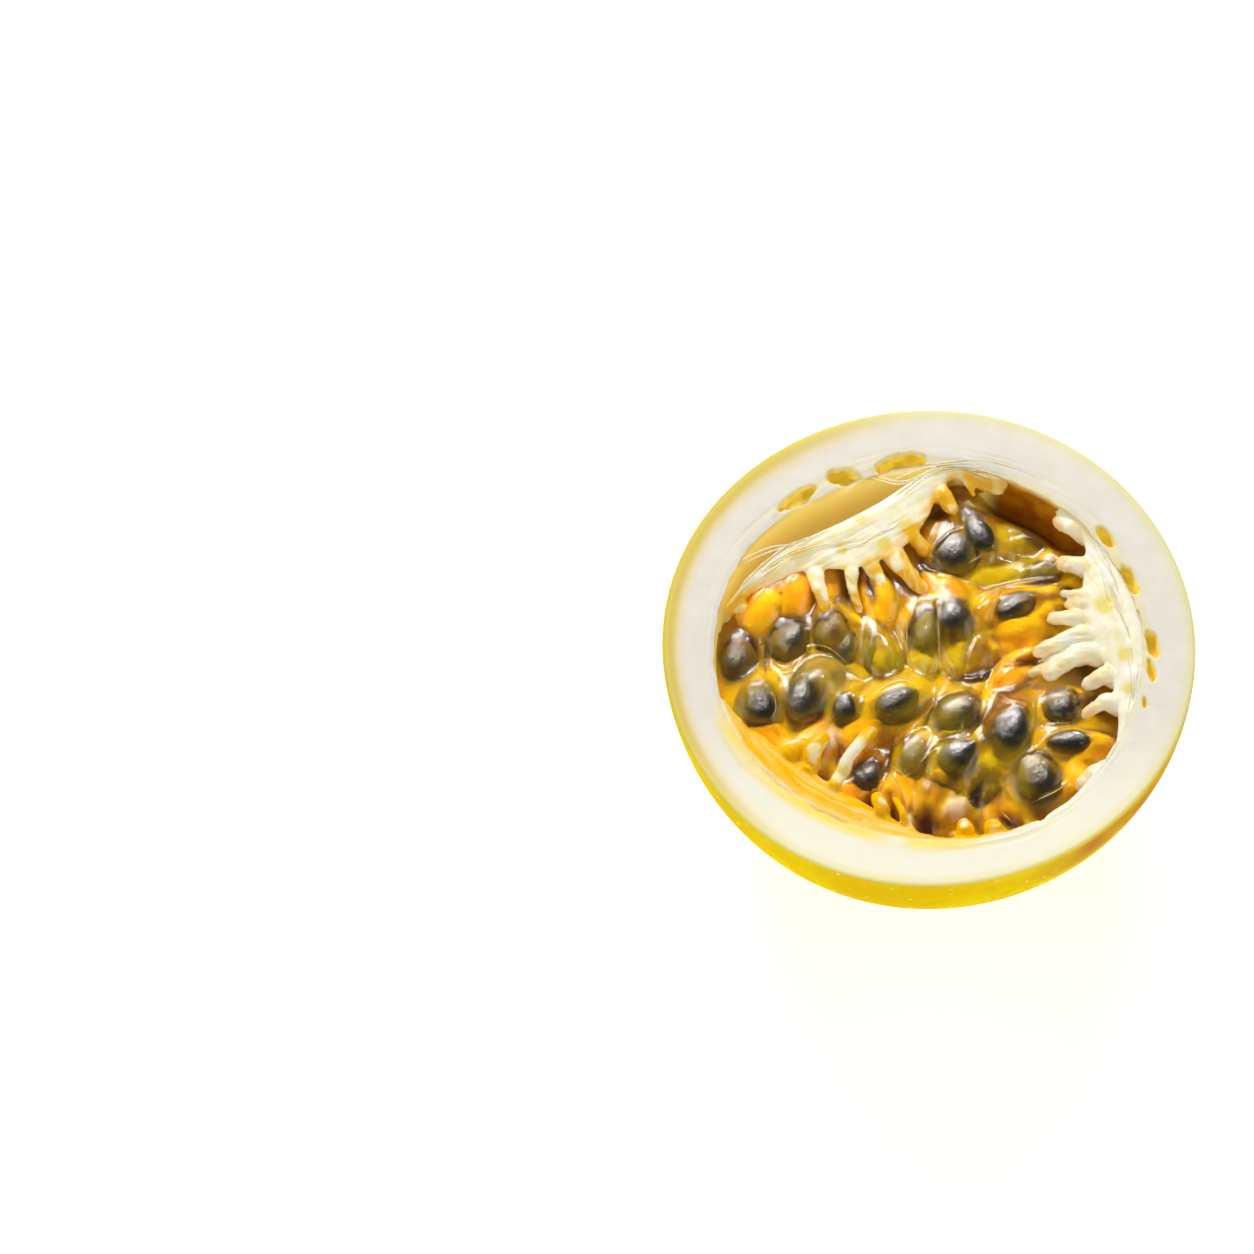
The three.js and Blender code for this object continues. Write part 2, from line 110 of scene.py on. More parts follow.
JUICE_DEPTH = 4.0  # of the juice between the sacs, below the cut
JUICE_OLIVE = 0.6  # how olive that juice is
FLESH_REACH = 29.2  # radius of the flesh's round bottom
FLESH_GAP = 0.4  # between the flesh's bottom and the cavity's
GRID_REACH = 30

# Seeds: x, y, depth of the top, length, width, heading of the long way, how much deeper it has sunk.
SEEDS = (
    (-25.0, -0.6, 2.5, 6.0, 4.5, 88, 0.2), (-18.4, 2.0, 2.6, 5.8, 5.0, 60, 0.1),
    (-12.9, 3.4, 2.6, 5.4, 4.2, 70, 0.4), (-11.0, 1.4, 3.6, 4.6, 3.6, 100, 0.2),
    (-22.1, -7.6, 1.5, 5.8, 4.5, 86, 0.0), (-16.4, -6.9, 1.7, 6.6, 4.7, 76, 0.0),
    (-11.0, -8.0, 2.3, 3.9, 3.0, 75, -0.1), (-4.0, -7.6, 1.6, 6.2, 4.2, 24, 0.0),
    (-0.2, 3.6, 2.7, 5.8, 3.3, 88, 0.5), (3.4, 5.2, 1.9, 4.8, 4.2, 95, -0.1),
    (-8.2, 0.2, 3.4, 5.4, 3.2, 82, 0.9), (-5.0, -1.2, 3.6, 4.6, 3.0, 96, 1.0),
    (4.0, 15.2, 3.1, 5.8, 5.2, 50, -0.1), (6.7, 18.0, 3.0, 5.6, 3.4, 118, -0.2),
    (11.6, 6.8, 2.4, 5.4, 3.1, 16, 0.0), (4.0, -8.8, 1.9, 6.0, 4.4, 40, 0.25),
    (10.9, -11.4, 1.2, 6.6, 4.7, 62, -0.2), (17.5, -7.9, 1.9, 4.8, 4.2, 44, 0.0),
    (18.3, -13.2, 1.9, 5.6, 2.9, 178, -0.2), (14.2, -17.9, 1.5, 6.4, 5.2, 96, 0.2),
    (3.9, -15.4, 1.2, 5.4, 4.2, 38, -0.1), (-1.7, -15.2, 1.9, 4.8, 3.2, 62, 0.4),
    (0.6, -20.6, 2.3, 5.4, 3.9, 75, 1.0), (-7.9, -17.6, 2.9, 4.2, 3.7, 55, 0.0),
    (15.6, 12.4, 3.9, 6.0, 3.4, 14, 0.8), (8.2, -19.6, 3.2, 5.0, 3.6, 120, 1.1),
    (-3.4, 9.2, 4.0, 5.0, 3.6, 100, 1.1), (19.8, -2.4, 4.3, 5.0, 3.6, 20, 0.9),
)
SEED_HEIGHT = 0.66  # as a share of its width
PAINTED_HIGHLIGHT_WAY = (-0.26, 0.40, 0.879)  # the way that a seed's painted highlight faces, towards the key light

# Marks on the flesh for each tone: x, y, half length, half width, turn in degrees.
MARKS = {
    # dark: painted shade in the pockets between sacs and under the stalks, where the flesh is also sunk, and
    # dark brown juice
    "dark": (
        (-10.7, 10.0, 2.1, 0.6, 90), (-7.7, 9.6, 2.4, 0.6, 100), (0.2, 13.2, 2.2, 0.9, -50),
        (6.2, -2.7, 2.8, 0.9, 15), (19.3, 9.2, 1.6, 1.2, 0), (22.3, -6.8, 2.6, 1.2, 20),
        (10.8, -24.1, 2.4, 0.9, -25), (6.6, -19.4, 2.0, 1.2, 90), (-4.8, -15.3, 2.3, 0.9, 82),
        (-21.5, -0.6, 2.6, 0.5, 90), (-0.4, -24.6, 1.9, 1.2, 90), (-4.6, -22.6, 2.3, 0.6, 100),
        (1.4, 21.4, 1.5, 1.0, 20), (13.2, -1.0, 2.0, 0.7, 25),
    ),
    "cream": (
        (-16.8, -13.8, 2.9, 1.6, 25), (-12.8, -12.6, 2.0, 1.0, 75), (3.7, -21.9, 2.0, 1.2, 30),
        (-2.6, -24.3, 1.8, 0.8, 100), (4.5, -25.6, 1.4, 0.8, 0), (-7.8, 4.6, 1.7, 0.8, -50),
        (7.4, -8.1, 1.2, 0.9, 30), (0.6, 7.9, 2.3, 0.6, 0), (1.8, 10.4, 1.0, 0.6, 0),
        (5.7, 22.4, 1.3, 0.7, -40),
    ),
    "gold": (
        (-5.3, 8.6, 2.7, 1.3, 105), (-9.4, 5.4, 1.7, 0.9, 110), (-13.6, 7.2, 2.3, 1.0, 95),
        (14.9, 9.2, 3.6, 0.8, 5), (15.6, 5.9, 2.7, 1.4, 20), (7.8, -6.7, 1.7, 1.2, 60),
        (19.2, -17.4, 2.3, 1.6, 70), (22.0, -13.1, 1.7, 1.4, 0), (-13.0, -17.0, 2.8, 1.7, -20),
        (1.5, -17.8, 0.9, 0.7, 0), (0.0, 14.9, 1.4, 0.9, 100), (12.4, 4.0, 3.4, 1.3, 10),
        (10.6, 0.4, 2.8, 1.0, -25), (18.6, -6.0, 1.4, 0.7, 0), (-23.0, 4.4, 2.2, 1.2, 80),
        (-20.6, 7.4, 1.6, 1.0, 10), (13.8, 0.4, 2.4, 1.2, 15),
    ),
    "milk": (
        (-9.0, 0.6, 2.4, 0.6, 100), (-6.9, 3.0, 2.0, 0.5, 60), (-0.8, -1.6, 1.4, 0.8, 95),
        (5.5, -0.2, 1.4, 0.5, 60), (-3.6, 3.4, 2.2, 0.4, 110), (8.4, 14.0, 1.6, 0.7, 20),
        (11.6, 14.6, 1.2, 0.8, 60), (1.6, -5.2, 1.6, 0.4, 20), (5.4, -11.0, 1.5, 0.5, 30),
        (9.4, 6.4, 1.8, 0.5, 70), (16.0, -10.6, 2.0, 0.7, 30), (-19.0, 0.6, 1.0, 0.6, 90),
    ),
    "lime": (
        (3.7, -0.8, 2.8, 1.8, 80), (-0.5, -1.2, 2.2, 1.5, 95), (-6.3, -1.2, 2.2, 1.0, 110),
        (-8.6, -3.4, 1.8, 1.2, 60), (3.2, -11.2, 1.9, 1.0, 35), (10.9, 17.8, 2.8, 1.9, 20),
        (8.4, 11.6, 3.4, 1.9, 10), (7.3, -16.8, 2.2, 1.4, 60), (-12.0, -2.0, 1.6, 1.2, 40),
        (6.6, -12.6, 1.6, 0.9, 80), (-3.2, 2.4, 2.2, 0.9, 100),
    ),
}
# Threads and glassy edges on the gel: thickness, then points x, y.
PULP_THREADS = (
    (0.16, (9.6, 9.2), (7.8, 4.3)), (0.13, (7.8, 7.9), (6.9, 5.8)), (0.14, (8.9, 7.6), (7.9, 4.7)),
    (0.16, (-2.7, 6.0), (-2.8, 0.8), (-2.2, -0.7)), (0.12, (1.1, 7.2), (1.4, 3.5), (1.5, -2.0)),
    (0.13, (-4.7, 5.0), (-3.0, 2.2)), (0.14, (5.3, 13.1), (7.4, 14.5)),
    (0.18, (6.6, 7.9), (10.7, 9.9), (16.8, 11.0)),
    (0.20, (-8.0, -7.4), (-5.8, -5.6), (-3.6, -4.7), (-1.2, -5.4)), (0.16, (8.2, -5.2), (9.4, -2.8)),
    (0.15, (-0.3, -9.6), (0.9, -7.7)), (0.20, (-3.3, -13.2), (-1.9, -11.3), (-0.4, -9.9)),
    (0.15, (-1.3, -16.9), (0.9, -14.7)), (0.17, (-4.9, -16.5), (-3.2, -18.3), (-2.0, -17.9)),
    (0.22, (-4.7, -17.8), (-3.3, -21.1), (-2.9, -22.5)), (0.20, (9.5, -23.2), (10.9, -24.5)),
    (0.22, (13.9, -22.2), (16.2, -21.0), (18.2, -19.4)),
    (0.14, (-20.8, -1.6), (-19.0, -3.3), (-17.9, -3.0), (-15.7, 0.5)),
    (0.12, (-15.7, 0.5), (-14.0, 0.7), (-11.9, -0.4), (-10.6, -1.8)),
    (0.14, (-20.2, -7.0), (-20.0, -9.0), (-20.6, -10.4)), (0.12, (6.3, -3.6), (9.4, -2.0), (12.4, -1.6)),
    (0.12, (13.4, -15.2), (16.0, -12.8), (18.6, -11.6)),
    (0.13, (-15.0, -12.0), (-13.4, -10.6), (-12.2, -9.6)), (0.12, (17.4, 14.0), (19.4, 14.4), (20.4, 13.6)),
    (0.11, (4.8, -3.6), (5.6, -0.6), (6.4, 1.4)), (0.11, (8.6, -5.8), (10.8, -7.6), (12.6, -8.2)),
)
# Air bubbles on the gel: x, y, radius.
BUBBLES = (
    (-1.6, 16.0, 0.42), (-7.4, 10.4, 0.4), (-8.3, 9.6, 0.26), (-12.6, 8.2, 0.24), (-14.6, 9.0, 0.2),
    (18.4, -9.6, 0.34), (-2.6, -11.8, 0.22), (5.2, -6.4, 0.3), (-17.0, -3.6, 0.22), (12.0, 9.4, 0.26),
    (20.6, -15.6, 0.26), (-9.6, -9.9, 0.2), (8.8, 15.6, 0.3), (-5.6, -12.4, 0.24), (12.8, -6.6, 0.2),
)
TINY_BUBBLES = 70

# ---- the membranes' sizes ----
# Membranes, clockwise round the fruit: outer edge x, y, then the free inner edge's x, y.
LEFT_WEB = (
    (-27.0, 5.4, -26.2, 4.9), (-24.6, 8.8, -23.8, 7.7), (-22.7, 11.0, -21.3, 9.3),
    (-18.8, 14.4, -17.0, 11.4), (-14.8, 16.6, -13.0, 11.8), (-11.5, 18.3, -10.0, 12.0),
    (-8.2, 20.2, -6.8, 12.8), (-6.0, 21.6, -3.8, 14.6), (-3.6, 23.4, -1.2, 17.4), (-1.2, 25.2, 0.6, 20.8),
    (1.4, 26.2, 2.0, 24.0), (4.4, 26.4, 4.3, 25.4), (7.4, 26.0, 7.4, 23.4), (9.4, 25.4, 9.6, 22.8),
    (10.8, 24.9, 10.7, 23.9),
)
RIGHT_WEB = (
    (17.6, 20.4, 17.2, 20.2), (20.3, 18.1, 19.6, 17.7), (21.9, 16.4, 20.6, 15.8), (23.4, 14.2, 20.8, 13.6),
    (24.8, 11.5, 20.5, 10.7), (26.0, 8.6, 20.2, 7.2), (27.0, 5.6, 20.3, 4.6), (27.8, 2.7, 21.4, 2.0),
    (28.3, 0.4, 22.2, -0.4), (28.3, -2.5, 23.3, -2.8), (28.2, -5.3, 24.2, -5.6), (27.8, -8.3, 24.8, -8.7),
    (27.4, -11.5, 24.8, -11.6), (26.8, -14.4, 24.3, -14.3), (25.6, -17.5, 23.6, -17.0),
    (23.8, -20.6, 22.4, -19.7),
)
FRONT_WEB = (
    (14.6, -25.2, 13.8, -24.4), (11.0, -27.0, 10.4, -25.6), (7.0, -28.0, 6.6, -26.4),
    (2.6, -28.4, 2.4, -26.6), (-2.0, -28.4, -1.6, -25.8), (-6.2, -27.6, -4.6, -24.0),
    (-10.4, -26.4, -7.8, -22.2), (-14.4, -24.6, -11.0, -20.4), (-17.6, -22.4, -14.0, -18.2),
    (-21.4, -18.9, -17.4, -15.4), (-24.3, -15.3, -21.2, -12.8), (-26.2, -11.4, -24.3, -10.2),
    (-27.4, -7.4, -26.5, -7.6),
)
# Stalks: root x, y, middle x, y, tip x, y, radius at the middle and at the tip, depth of the tip's top.
LEFT_STALKS = (
    (-25.0, 7.2, -24.9, 5.8, -24.6, 3.6, 0.9, 0.6, 3.0),
    (-15.6, 13.4, -14.7, 9.9, -13.5, 5.6, 1.1, 0.8, 1.9),
    (-10.2, 13.4, -10.1, 9.8, -9.0, 6.0, 0.75, 0.6, 3.2),
    (-6.0, 16.4, -3.4, 12.6, -0.2, 8.8, 1.25, 0.95, 2.6),
    (-8.6, 14.6, -6.6, 10.8, -5.0, 7.8, 0.95, 0.7, 3.0), (0.2, 24.6, 2.0, 22.8, 3.7, 20.6, 1.25, 0.95, 1.9),
    (5.0, 26.0, 5.5, 24.6, 6.2, 22.9, 0.6, 0.4, 2.4), (-3.4, 19.0, -1.8, 16.8, 0.2, 14.8, 0.9, 1.0, 3.0),
)
RIGHT_STALKS = (
    (22.6, 16.2, 19.5, 17.7, 16.8, 19.4, 1.15, 1.05, 1.4),
    (24.0, 11.6, 20.2, 12.1, 17.0, 13.1, 1.35, 1.15, 1.6),
    (23.2, 7.6, 20.0, 7.6, 17.4, 8.3, 0.95, 0.6, 1.5), (22.8, 6.4, 20.2, 6.3, 17.9, 6.5, 0.8, 0.6, 1.6),
    (23.0, 4.4, 18.8, 4.4, 15.7, 4.5, 1.1, 0.95, 1.3), (24.6, 2.0, 19.2, 1.6, 13.7, -0.6, 1.3, 1.0, 1.4),
    (22.6, 0.0, 17.8, -1.2, 13.0, -3.2, 1.3, 0.8, 2.7),
    (25.2, -0.4, 19.8, -0.9, 15.2, -4.0, 1.35, 1.15, 1.3),
    (26.4, -4.0, 23.2, -4.0, 20.2, -5.2, 1.3, 1.0, 1.6),
    (26.6, -8.0, 23.0, -8.0, 20.0, -9.7, 1.2, 0.85, 1.5),
    (25.4, -17.2, 22.2, -18.2, 19.3, -20.0, 1.7, 1.3, 1.5),
)
FRONT_STALKS = (
    (-12.6, -20.0, -10.2, -15.8, -7.0, -11.3, 0.8, 0.95, 1.5),
    (-16.2, -18.0, -15.0, -14.8, -13.6, -11.8, 1.2, 1.3, 1.5),
    (-5.6, -25.0, -6.2, -22.9, -6.9, -20.8, 0.9, 0.8, 1.6),
    (-2.0, -26.6, -3.2, -24.0, -4.4, -21.2, 0.6, 0.5, 2.0),
    (5.0, -27.4, 4.8, -26.0, 4.5, -24.6, 1.2, 1.0, 1.7),
    (10.0, -26.8, 8.7, -26.0, 7.4, -25.2, 1.2, 1.25, 1.2),
    (-20.8, -16.6, -18.2, -14.8, -15.2, -13.4, 1.3, 1.3, 2.0),
)
# Lemon patches on the membranes: x, y, radius.
WEB_SPOTS = (
    (23.3, 5.9, 1.5), (25.8, -1.4, 1.0), (26.2, -6.4, 0.8), (-8.9, 18.3, 0.9), (-2.8, 17.8, 1.3),
    (-5.8, 15.2, 1.1), (-20.4, 11.6, 0.7), (-11.4, 14.2, 0.7),
)
LEFT_FALL, RIGHT_FALL, FRONT_FALL = 1.5, 0.9, 2.6  # how far each membrane's band sags
BAND_TOP = 0.25  # depth of the membranes' outer edges below the cut
ROOTED = 0.3  # how far a membrane may run into the rind
BAND_THICKNESS = 0.85
SKIRT_THICKNESS = 0.9
MELT_VOXEL = 0.22
# Single loose strands: points x, y, depth below the cut.
LOOSE_STRANDS = (
    ((-26.0, 11.9, 0.7), (-22.9, 13.5, 0.5), (-20.7, 14.3, 0.3), (-18.6, 14.6, 0.3), (-16.4, 15.4, 0.3)),
    ((-26.2, 11.4, 1.2), (-23.6, 12.6, 0.9), (-21.0, 13.6, 0.4), (-18.0, 14.6, 0.3)),
    ((-8.6, 25.4, 0.5), (-5.5, 24.5, 0.5), (-3.4, 24.1, 0.4), (-1.4, 24.8, 0.3), (1.6, 26.6, 0.3)),
    ((-10.0, 24.8, 0.7), (-6.6, 24.4, 0.7), (-3.8, 23.7, 0.5), (-1.0, 24.6, 0.3)),
    ((-4.6, 24.6, 0.9), (-0.4, 26.1, 0.3), (4.6, 26.7, 0.2), (9.0, 26.1, 0.2), (14.0, 23.9, 0.3)),
    ((1.0, 26.6, 0.2), (6.4, 27.2, 0.1), (11.8, 25.8, 0.1), (16.6, 22.9, 0.2), (20.6, 18.8, 0.3)),
    ((3.4, 26.3, 0.4), (8.6, 26.2, 0.3), (13.0, 24.4, 0.3), (17.0, 21.6, 0.4), (20.0, 18.3, 0.6)),
)
STRAND_RADIUS = 0.11
STRAND_TIP = 0.03


# ---- number tools ----
PRIMES = (73856093, 19349663, 83492791)  # turn a cell's place into a place in the table
TABLE_SIZE = 4096  # random heights that the noise picks from, a power of two


def noise(points, size, seed):
    """Smooth noise from -1 to 1 at points in mm. Size is its waves' length, one or one for each axis."""
    scaled = np.asarray(points, float) / size
    cell = np.floor(scaled).astype(np.int64)
    share = scaled - cell
    share = share * share * (3 - 2 * share)
    table = np.random.default_rng(seed).uniform(-1, 1, TABLE_SIZE)
    total = np.zeros(scaled.shape[:-1])
    for corner in itertools.product((0, 1), repeat=scaled.shape[-1]):
        key = sum((cell[..., k] + step) * PRIMES[k] for k, step in enumerate(corner))
        sides = [share[..., k] if step else 1 - share[..., k] for k, step in enumerate(corner)]
        total += table[key & (TABLE_SIZE - 1)] * np.prod(sides, axis=0)
    return total


def smoothstep(low, high, value):
    """0 up to low, 1 from high, and a smooth way between."""
    share = np.clip((value - low) / (high - low), 0, 1)
    return share * share * (3 - 2 * share)


def fade(low, high, value):
    """1 up to low, 0 from high, and a smooth way between."""
    return 1 - smoothstep(low, high, value)


def window(low, high, drop, end, value):
    """1 from high to drop, 0 up to low and from end, and smooth ways between."""
    return smoothstep(low, high, value) * fade(drop, end, value)


def turned(x, y, turn):
    """Where a spot lies along and across a direction in degrees."""
    c, s = math.cos(math.radians(turn)), math.sin(math.radians(turn))
    return x * c + y * s, y * c - x * s


def oval(x, y, middle_x, middle_y, long, wide, turn):
    """How far out of an oval a spot is, 1 at its edge; long and wide are its half sizes."""
    u, v = turned(x - middle_x, y - middle_y, turn)
    return np.hypot(u / long, v / wide)


def eased(a, b, c, d, t):
    """A smooth way from b, where t is 0, to c, where t is 1, on from a and towards d."""
    return 0.5 * (2 * b + (c - a) * t + (2 * a - 5 * b + 4 * c - d) * t**2 + (3 * b - a - 3 * c + d) * t**3)


def spread(rows, step):
    """Rows of numbers laid again along a smooth curve through them, about step mm apart by the first two."""
    rows = np.array(rows, float)
    ends = np.vstack([2 * rows[0] - rows[1], rows, 2 * rows[-1] - rows[-2]])
    made = []
    for a, b, c, d in zip(ends[:-3], ends[1:-2], ends[2:-1], ends[3:]):
        parts = max(1, round(math.dist(b[:2], c[:2]) / step))
        made += [eased(a, b, c, d, t) for t in np.arange(parts) / parts]
    return np.array(made + [rows[-1]])


def soft_max(stack, width):
    """The highest of several heights, with creases rounded over about width."""
    top = stack.max(0)
    return top + width * np.log(np.exp((stack - top) / width).sum(0)) - width * math.log(1.2)


def blended(base, *layers):
    """A colour under layers, each its share at every spot and its colour."""
    for share, colour in layers:
        share = share[..., None]
        base = base * (1 - share) + colour * share
    return base


# ---- mesh tools ----
# A layer's kind and its field, by how many numbers a point it holds.
LAYER_KINDS = {1: ("FLOAT", "value"), 3: ("FLOAT_VECTOR", "vector"), 4: ("FLOAT_COLOR", "color")}


def mesh_piece(name, points, faces, edges=(), **layers):
    """A smooth-shaded mesh object from points in mm."""
    mesh = bpy.data.meshes.new(name)
    mesh.from_pydata((np.asarray(points) * MM).tolist(), edges, faces)
    mesh.shade_smooth()
    piece = bpy.data.objects.new(name, mesh)
    bpy.context.scene.collection.objects.link(piece)
    set_layers(piece, **layers)
    return piece


def set_layers(piece, **layers):
    """Keeps a number, a vector or a colour a point on a mesh object, by the layers' names."""
    for name, values in layers.items():
        values = np.asarray(values, np.float32)
        kind, field = LAYER_KINDS[values.size // len(values)]
        layer = piece.data.attributes.new(name, kind, "POINT")
        layer.data.foreach_set(field, values.ravel())


def read(items, field):
    """The vectors of a mesh's vertices or normals."""
    flat = np.empty(len(items) * 3)
    items.foreach_get(field, flat)
    return flat.reshape(-1, 3)


def points_of(piece):
    """The points of a mesh object in mm."""
    return read(piece.data.vertices, "co") / MM


def normals_of(piece):
    """Which way each point of a mesh object faces."""
    return read(piece.data.vertex_normals, "vector")


def move_points(piece, points):
    """Puts the points of a mesh object at points in mm."""
    piece.data.vertices.foreach_set("co", (points * MM).ravel())
    piece.data.update()


def ring_quads(rows, columns):
    """Quads between rows of points that each run once round."""
    a = np.arange(columns)
    b = (a + 1) % columns
    ring = np.stack([a, b, b + columns, a + columns], -1)
    return (ring + columns * np.arange(rows - 1)[:, None, None]).reshape(-1, 4)


def settled(piece):
    """Turns a piece's modifiers into its plain mesh."""
    graph = bpy.context.evaluated_depsgraph_get()
    mesh = bpy.data.meshes.new_from_object(piece.evaluated_get(graph))
    piece.modifiers.clear()
    piece.data = mesh
    return piece


def dress(piece, material, slot, *nodes):
    """Gives a piece its material and body, and hides the CAD nodes that it stands for. Its slot is not used.
    """
    piece.data.materials.clear()
    piece.data.materials.append(material)
    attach(piece, "root")
    if nodes:
        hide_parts(*nodes)


def dress_made(make, finish, slot):
    """Makes a piece of the material that it will have, and dresses it."""
    material = finish()
    dress(make(material), material, slot)


# ---- node tools ----
class Wire:
    """A node's outgoing socket, so that maths with nodes reads as plain sums."""

    def __init__(self, net, socket):
        self.net = net
        self.socket = socket

    def math(self, operation, *values):
        return self.net.node("ShaderNodeMath", {"operation": operation}, dict(enumerate(values)))

    def __add__(self, other):
        return self.math("ADD", self, other)

    def __sub__(self, other):
        return self.math("SUBTRACT", self, other)

    def __rsub__(self, other):
        return self.math("SUBTRACT", other, self)

    def __mul__(self, other):
        return self.math("MULTIPLY", self, other)

    __radd__ = __add__
    __rmul__ = __mul__

    def step(self, low, high):
        """0 up to low, 1 from high, smooth between."""
        settings = {"interpolation_type": "SMOOTHSTEP"}
        return self.net.node("ShaderNodeMapRange", settings, {0: self, 1: low, 2: high, 3: 0.0, 4: 1.0})


class Net:
    """A tree of nodes that the script fills."""

    def __init__(self, tree):
        self.tree = tree
        tree.nodes.clear()

    def node(self, kind, settings=None, values=None, output=0):
        """Adds a node, sets it up, and fills its sockets with numbers or wires."""
        made = self.tree.nodes.new(kind)
        for key, value in (settings or {}).items():
            setattr(made, key, value)
        for key, value in (values or {}).items():
            if isinstance(value, Wire):
                self.tree.links.new(value.socket, made.inputs[key])
            else:
                made.inputs[key].default_value = value
        return Wire(self, made.outputs[output]) if made.outputs else None


class ShapeNet(Net):
    """A Geometry Nodes tree with named inputs, given as their kinds; underscores stand for spaces."""

    def __init__(self, name, **kinds):
        super().__init__(bpy.data.node_groups.new(name, "GeometryNodeTree"))
        for key, kind in {"Geometry": "Geometry", **kinds, "Material": "Material"}.items():
            self.socket(key, kind, "INPUT")
        self.socket("Geometry", "Geometry", "OUTPUT")
        self.start = self.tree.nodes.new("NodeGroupInput")

    def socket(self, name, kind, side):
        name = name.replace("_", " ")
        self.tree.interface.new_socket(name, in_out=side, socket_type="NodeSocket" + kind)

    def given(self, name):
        """A named input's wire."""
        return Wire(self, self.start.outputs[name])

    def attribute(self, name, kind):
        return self.node("GeometryNodeInputNamedAttribute", {"data_type": kind}, {"Name": name})

    def ended(self, shape):
        """Ends the tree with the shape made real and in its material."""
        real = self.node("GeometryNodeRealizeInstances", None, {0: shape})
        coated = self.node("GeometryNodeSetMaterial", None, {
            "Geometry": real, "Material": self.given("Material")})
        self.node("NodeGroupOutput", None, {0: coated})
        return self.tree


def nodes_modifier(piece, tree, **inputs):
    """Adds a tree to a piece and sets its inputs by their names, with underscores for spaces."""
    modifier = piece.modifiers.new(tree.name, "NODES")
    modifier.node_group = tree
    names = {item.name: item.identifier for item in tree.interface.items_tree if item.in_out == "INPUT"}
    for key, value in inputs.items():
        modifier[names[key.replace("_", " ")]] = value


def rgb(red, green, blue):
    """A colour as seen on a screen, 0 to 255, as linear light."""
    def linear(value):
        value /= 255
        return value / 12.92 if value <= 0.04045 else ((value + 0.055) / 1.055) ** 2.4
    return (linear(red), linear(green), linear(blue), 1.0)


class Finish(Net):
    """A material whose nodes are added by the script."""

    def __init__(self, name):
        self.material = bpy.data.materials.new(name)
        self.material.use_nodes = True
        super().__init__(self.material.node_tree)
        self.place = self.node("ShaderNodeTexCoord", output="Object")

    def attribute(self, name, output="Fac"):
        return self.node("ShaderNodeAttribute", {"attribute_name": name}, output=output)

    def mix(self, share, low, high, blend="MIX"):
        """One colour into another by a share."""
        settings = {"data_type": "RGBA", "blend_type": blend}
        return self.node("ShaderNodeMix", settings, {0: share, 6: low, 7: high}, output=2)

    def layered(self, base, *layers):
        """A colour under layers, each its share and its colour."""
        for share, colour in layers:
            base = self.mix(share, base, colour)
        return base

    def noise(self, size, detail=2.0, rough=0.5, wobble=0.0):
        """Noise of about 0 to 1 with waves of size mm."""
        values = {"Scale": 1 / (size * MM), "Detail": detail, "Roughness": rough, "Distortion": wobble}
        return self.node("ShaderNodeTexNoise", None, {"Vector": self.place, **values})

    def cells(self, size, output="Distance"):
        """Cells of size mm: the distance from their middles, or a colour for each."""
        values = {"Vector": self.place, "Scale": 1 / (size * MM)}
        return self.node("ShaderNodeTexVoronoi", None, values, output)

    def bump(self, height, reach, strength, below=None):
        """A normal from a height of 0 to 1 that stands for reach mm."""
        values = {"Height": height, "Distance": reach * MM, "Strength": strength}
        if below:
            values["Normal"] = below
        return self.node("ShaderNodeBump", None, values)

    def surface(self, **values):
        """A Principled surface; spaces in socket names are written as underscores."""
        values = {key.replace("_", " "): value for key, value in values.items()}
        return self.node("ShaderNodeBsdfPrincipled", None, values)

    def blend(self, share, low, high):
        """One surface into another by a share."""
        return self.node("ShaderNodeMixShader", None, {0: share, 1: low, 2: high})

    def done(self, surface, **volume):
        self.node("ShaderNodeOutputMaterial", None, {"Surface": surface, **volume})
        return self.material


def soft(weight, reach, size):
    """Sockets for light that spreads under a surface: how much, each colour's share, and how far in mm."""
    return {"Subsurface_Weight": weight, "Subsurface_Radius": reach, "Subsurface_Scale": size * MM}


def wet(weight, rough):
    """Sockets for a clear wet film."""
    return {"Coat_Weight": weight, "Coat_Roughness": rough}


# ---- finishes ----
BLACK = rgb(0, 0, 0)


def speckled_yellow(f):
    """The waxy skin: lemon, golden in front as painted shade, in soft patches, with pale and dark dots."""
    patches = f.noise(14, 3).step(0.35, 0.7)
    lemon = f.mix(patches, rgb(208, 174, 2), rgb(226, 202, 12))
    golden = f.mix(patches, rgb(218, 176, 0), rgb(232, 199, 2))
    dots = 1 - f.cells(1.9).step(0.07, 0.21)
    shown = f.node("ShaderNodeSeparateColor", None, {0: f.cells(1.9, "Color")}).step(0.3, 0.9)
    fine = 1 - f.cells(0.7).step(0.05, 0.2)
    return f.layered(
        lemon,
        # painted shade: the front, away from the key light, turned golden
        (f.attribute("front").step(0.05, 0.5), golden),
        (f.noise(5, 4, 0.6).step(0.45, 0.75) * 0.6, rgb(200, 162, 8)),
        (f.noise(1.3, 4, 0.65).step(0.45, 0.8) * 0.35, rgb(208, 160, 6)),
        (dots * shown * 0.8, rgb(252, 238, 150)),
        (fine * 0.3, rgb(198, 158, 10)),
        (f.attribute("bruise"), rgb(178, 112, 44)),
        (f.attribute("green"), rgb(214, 204, 50)),
    )


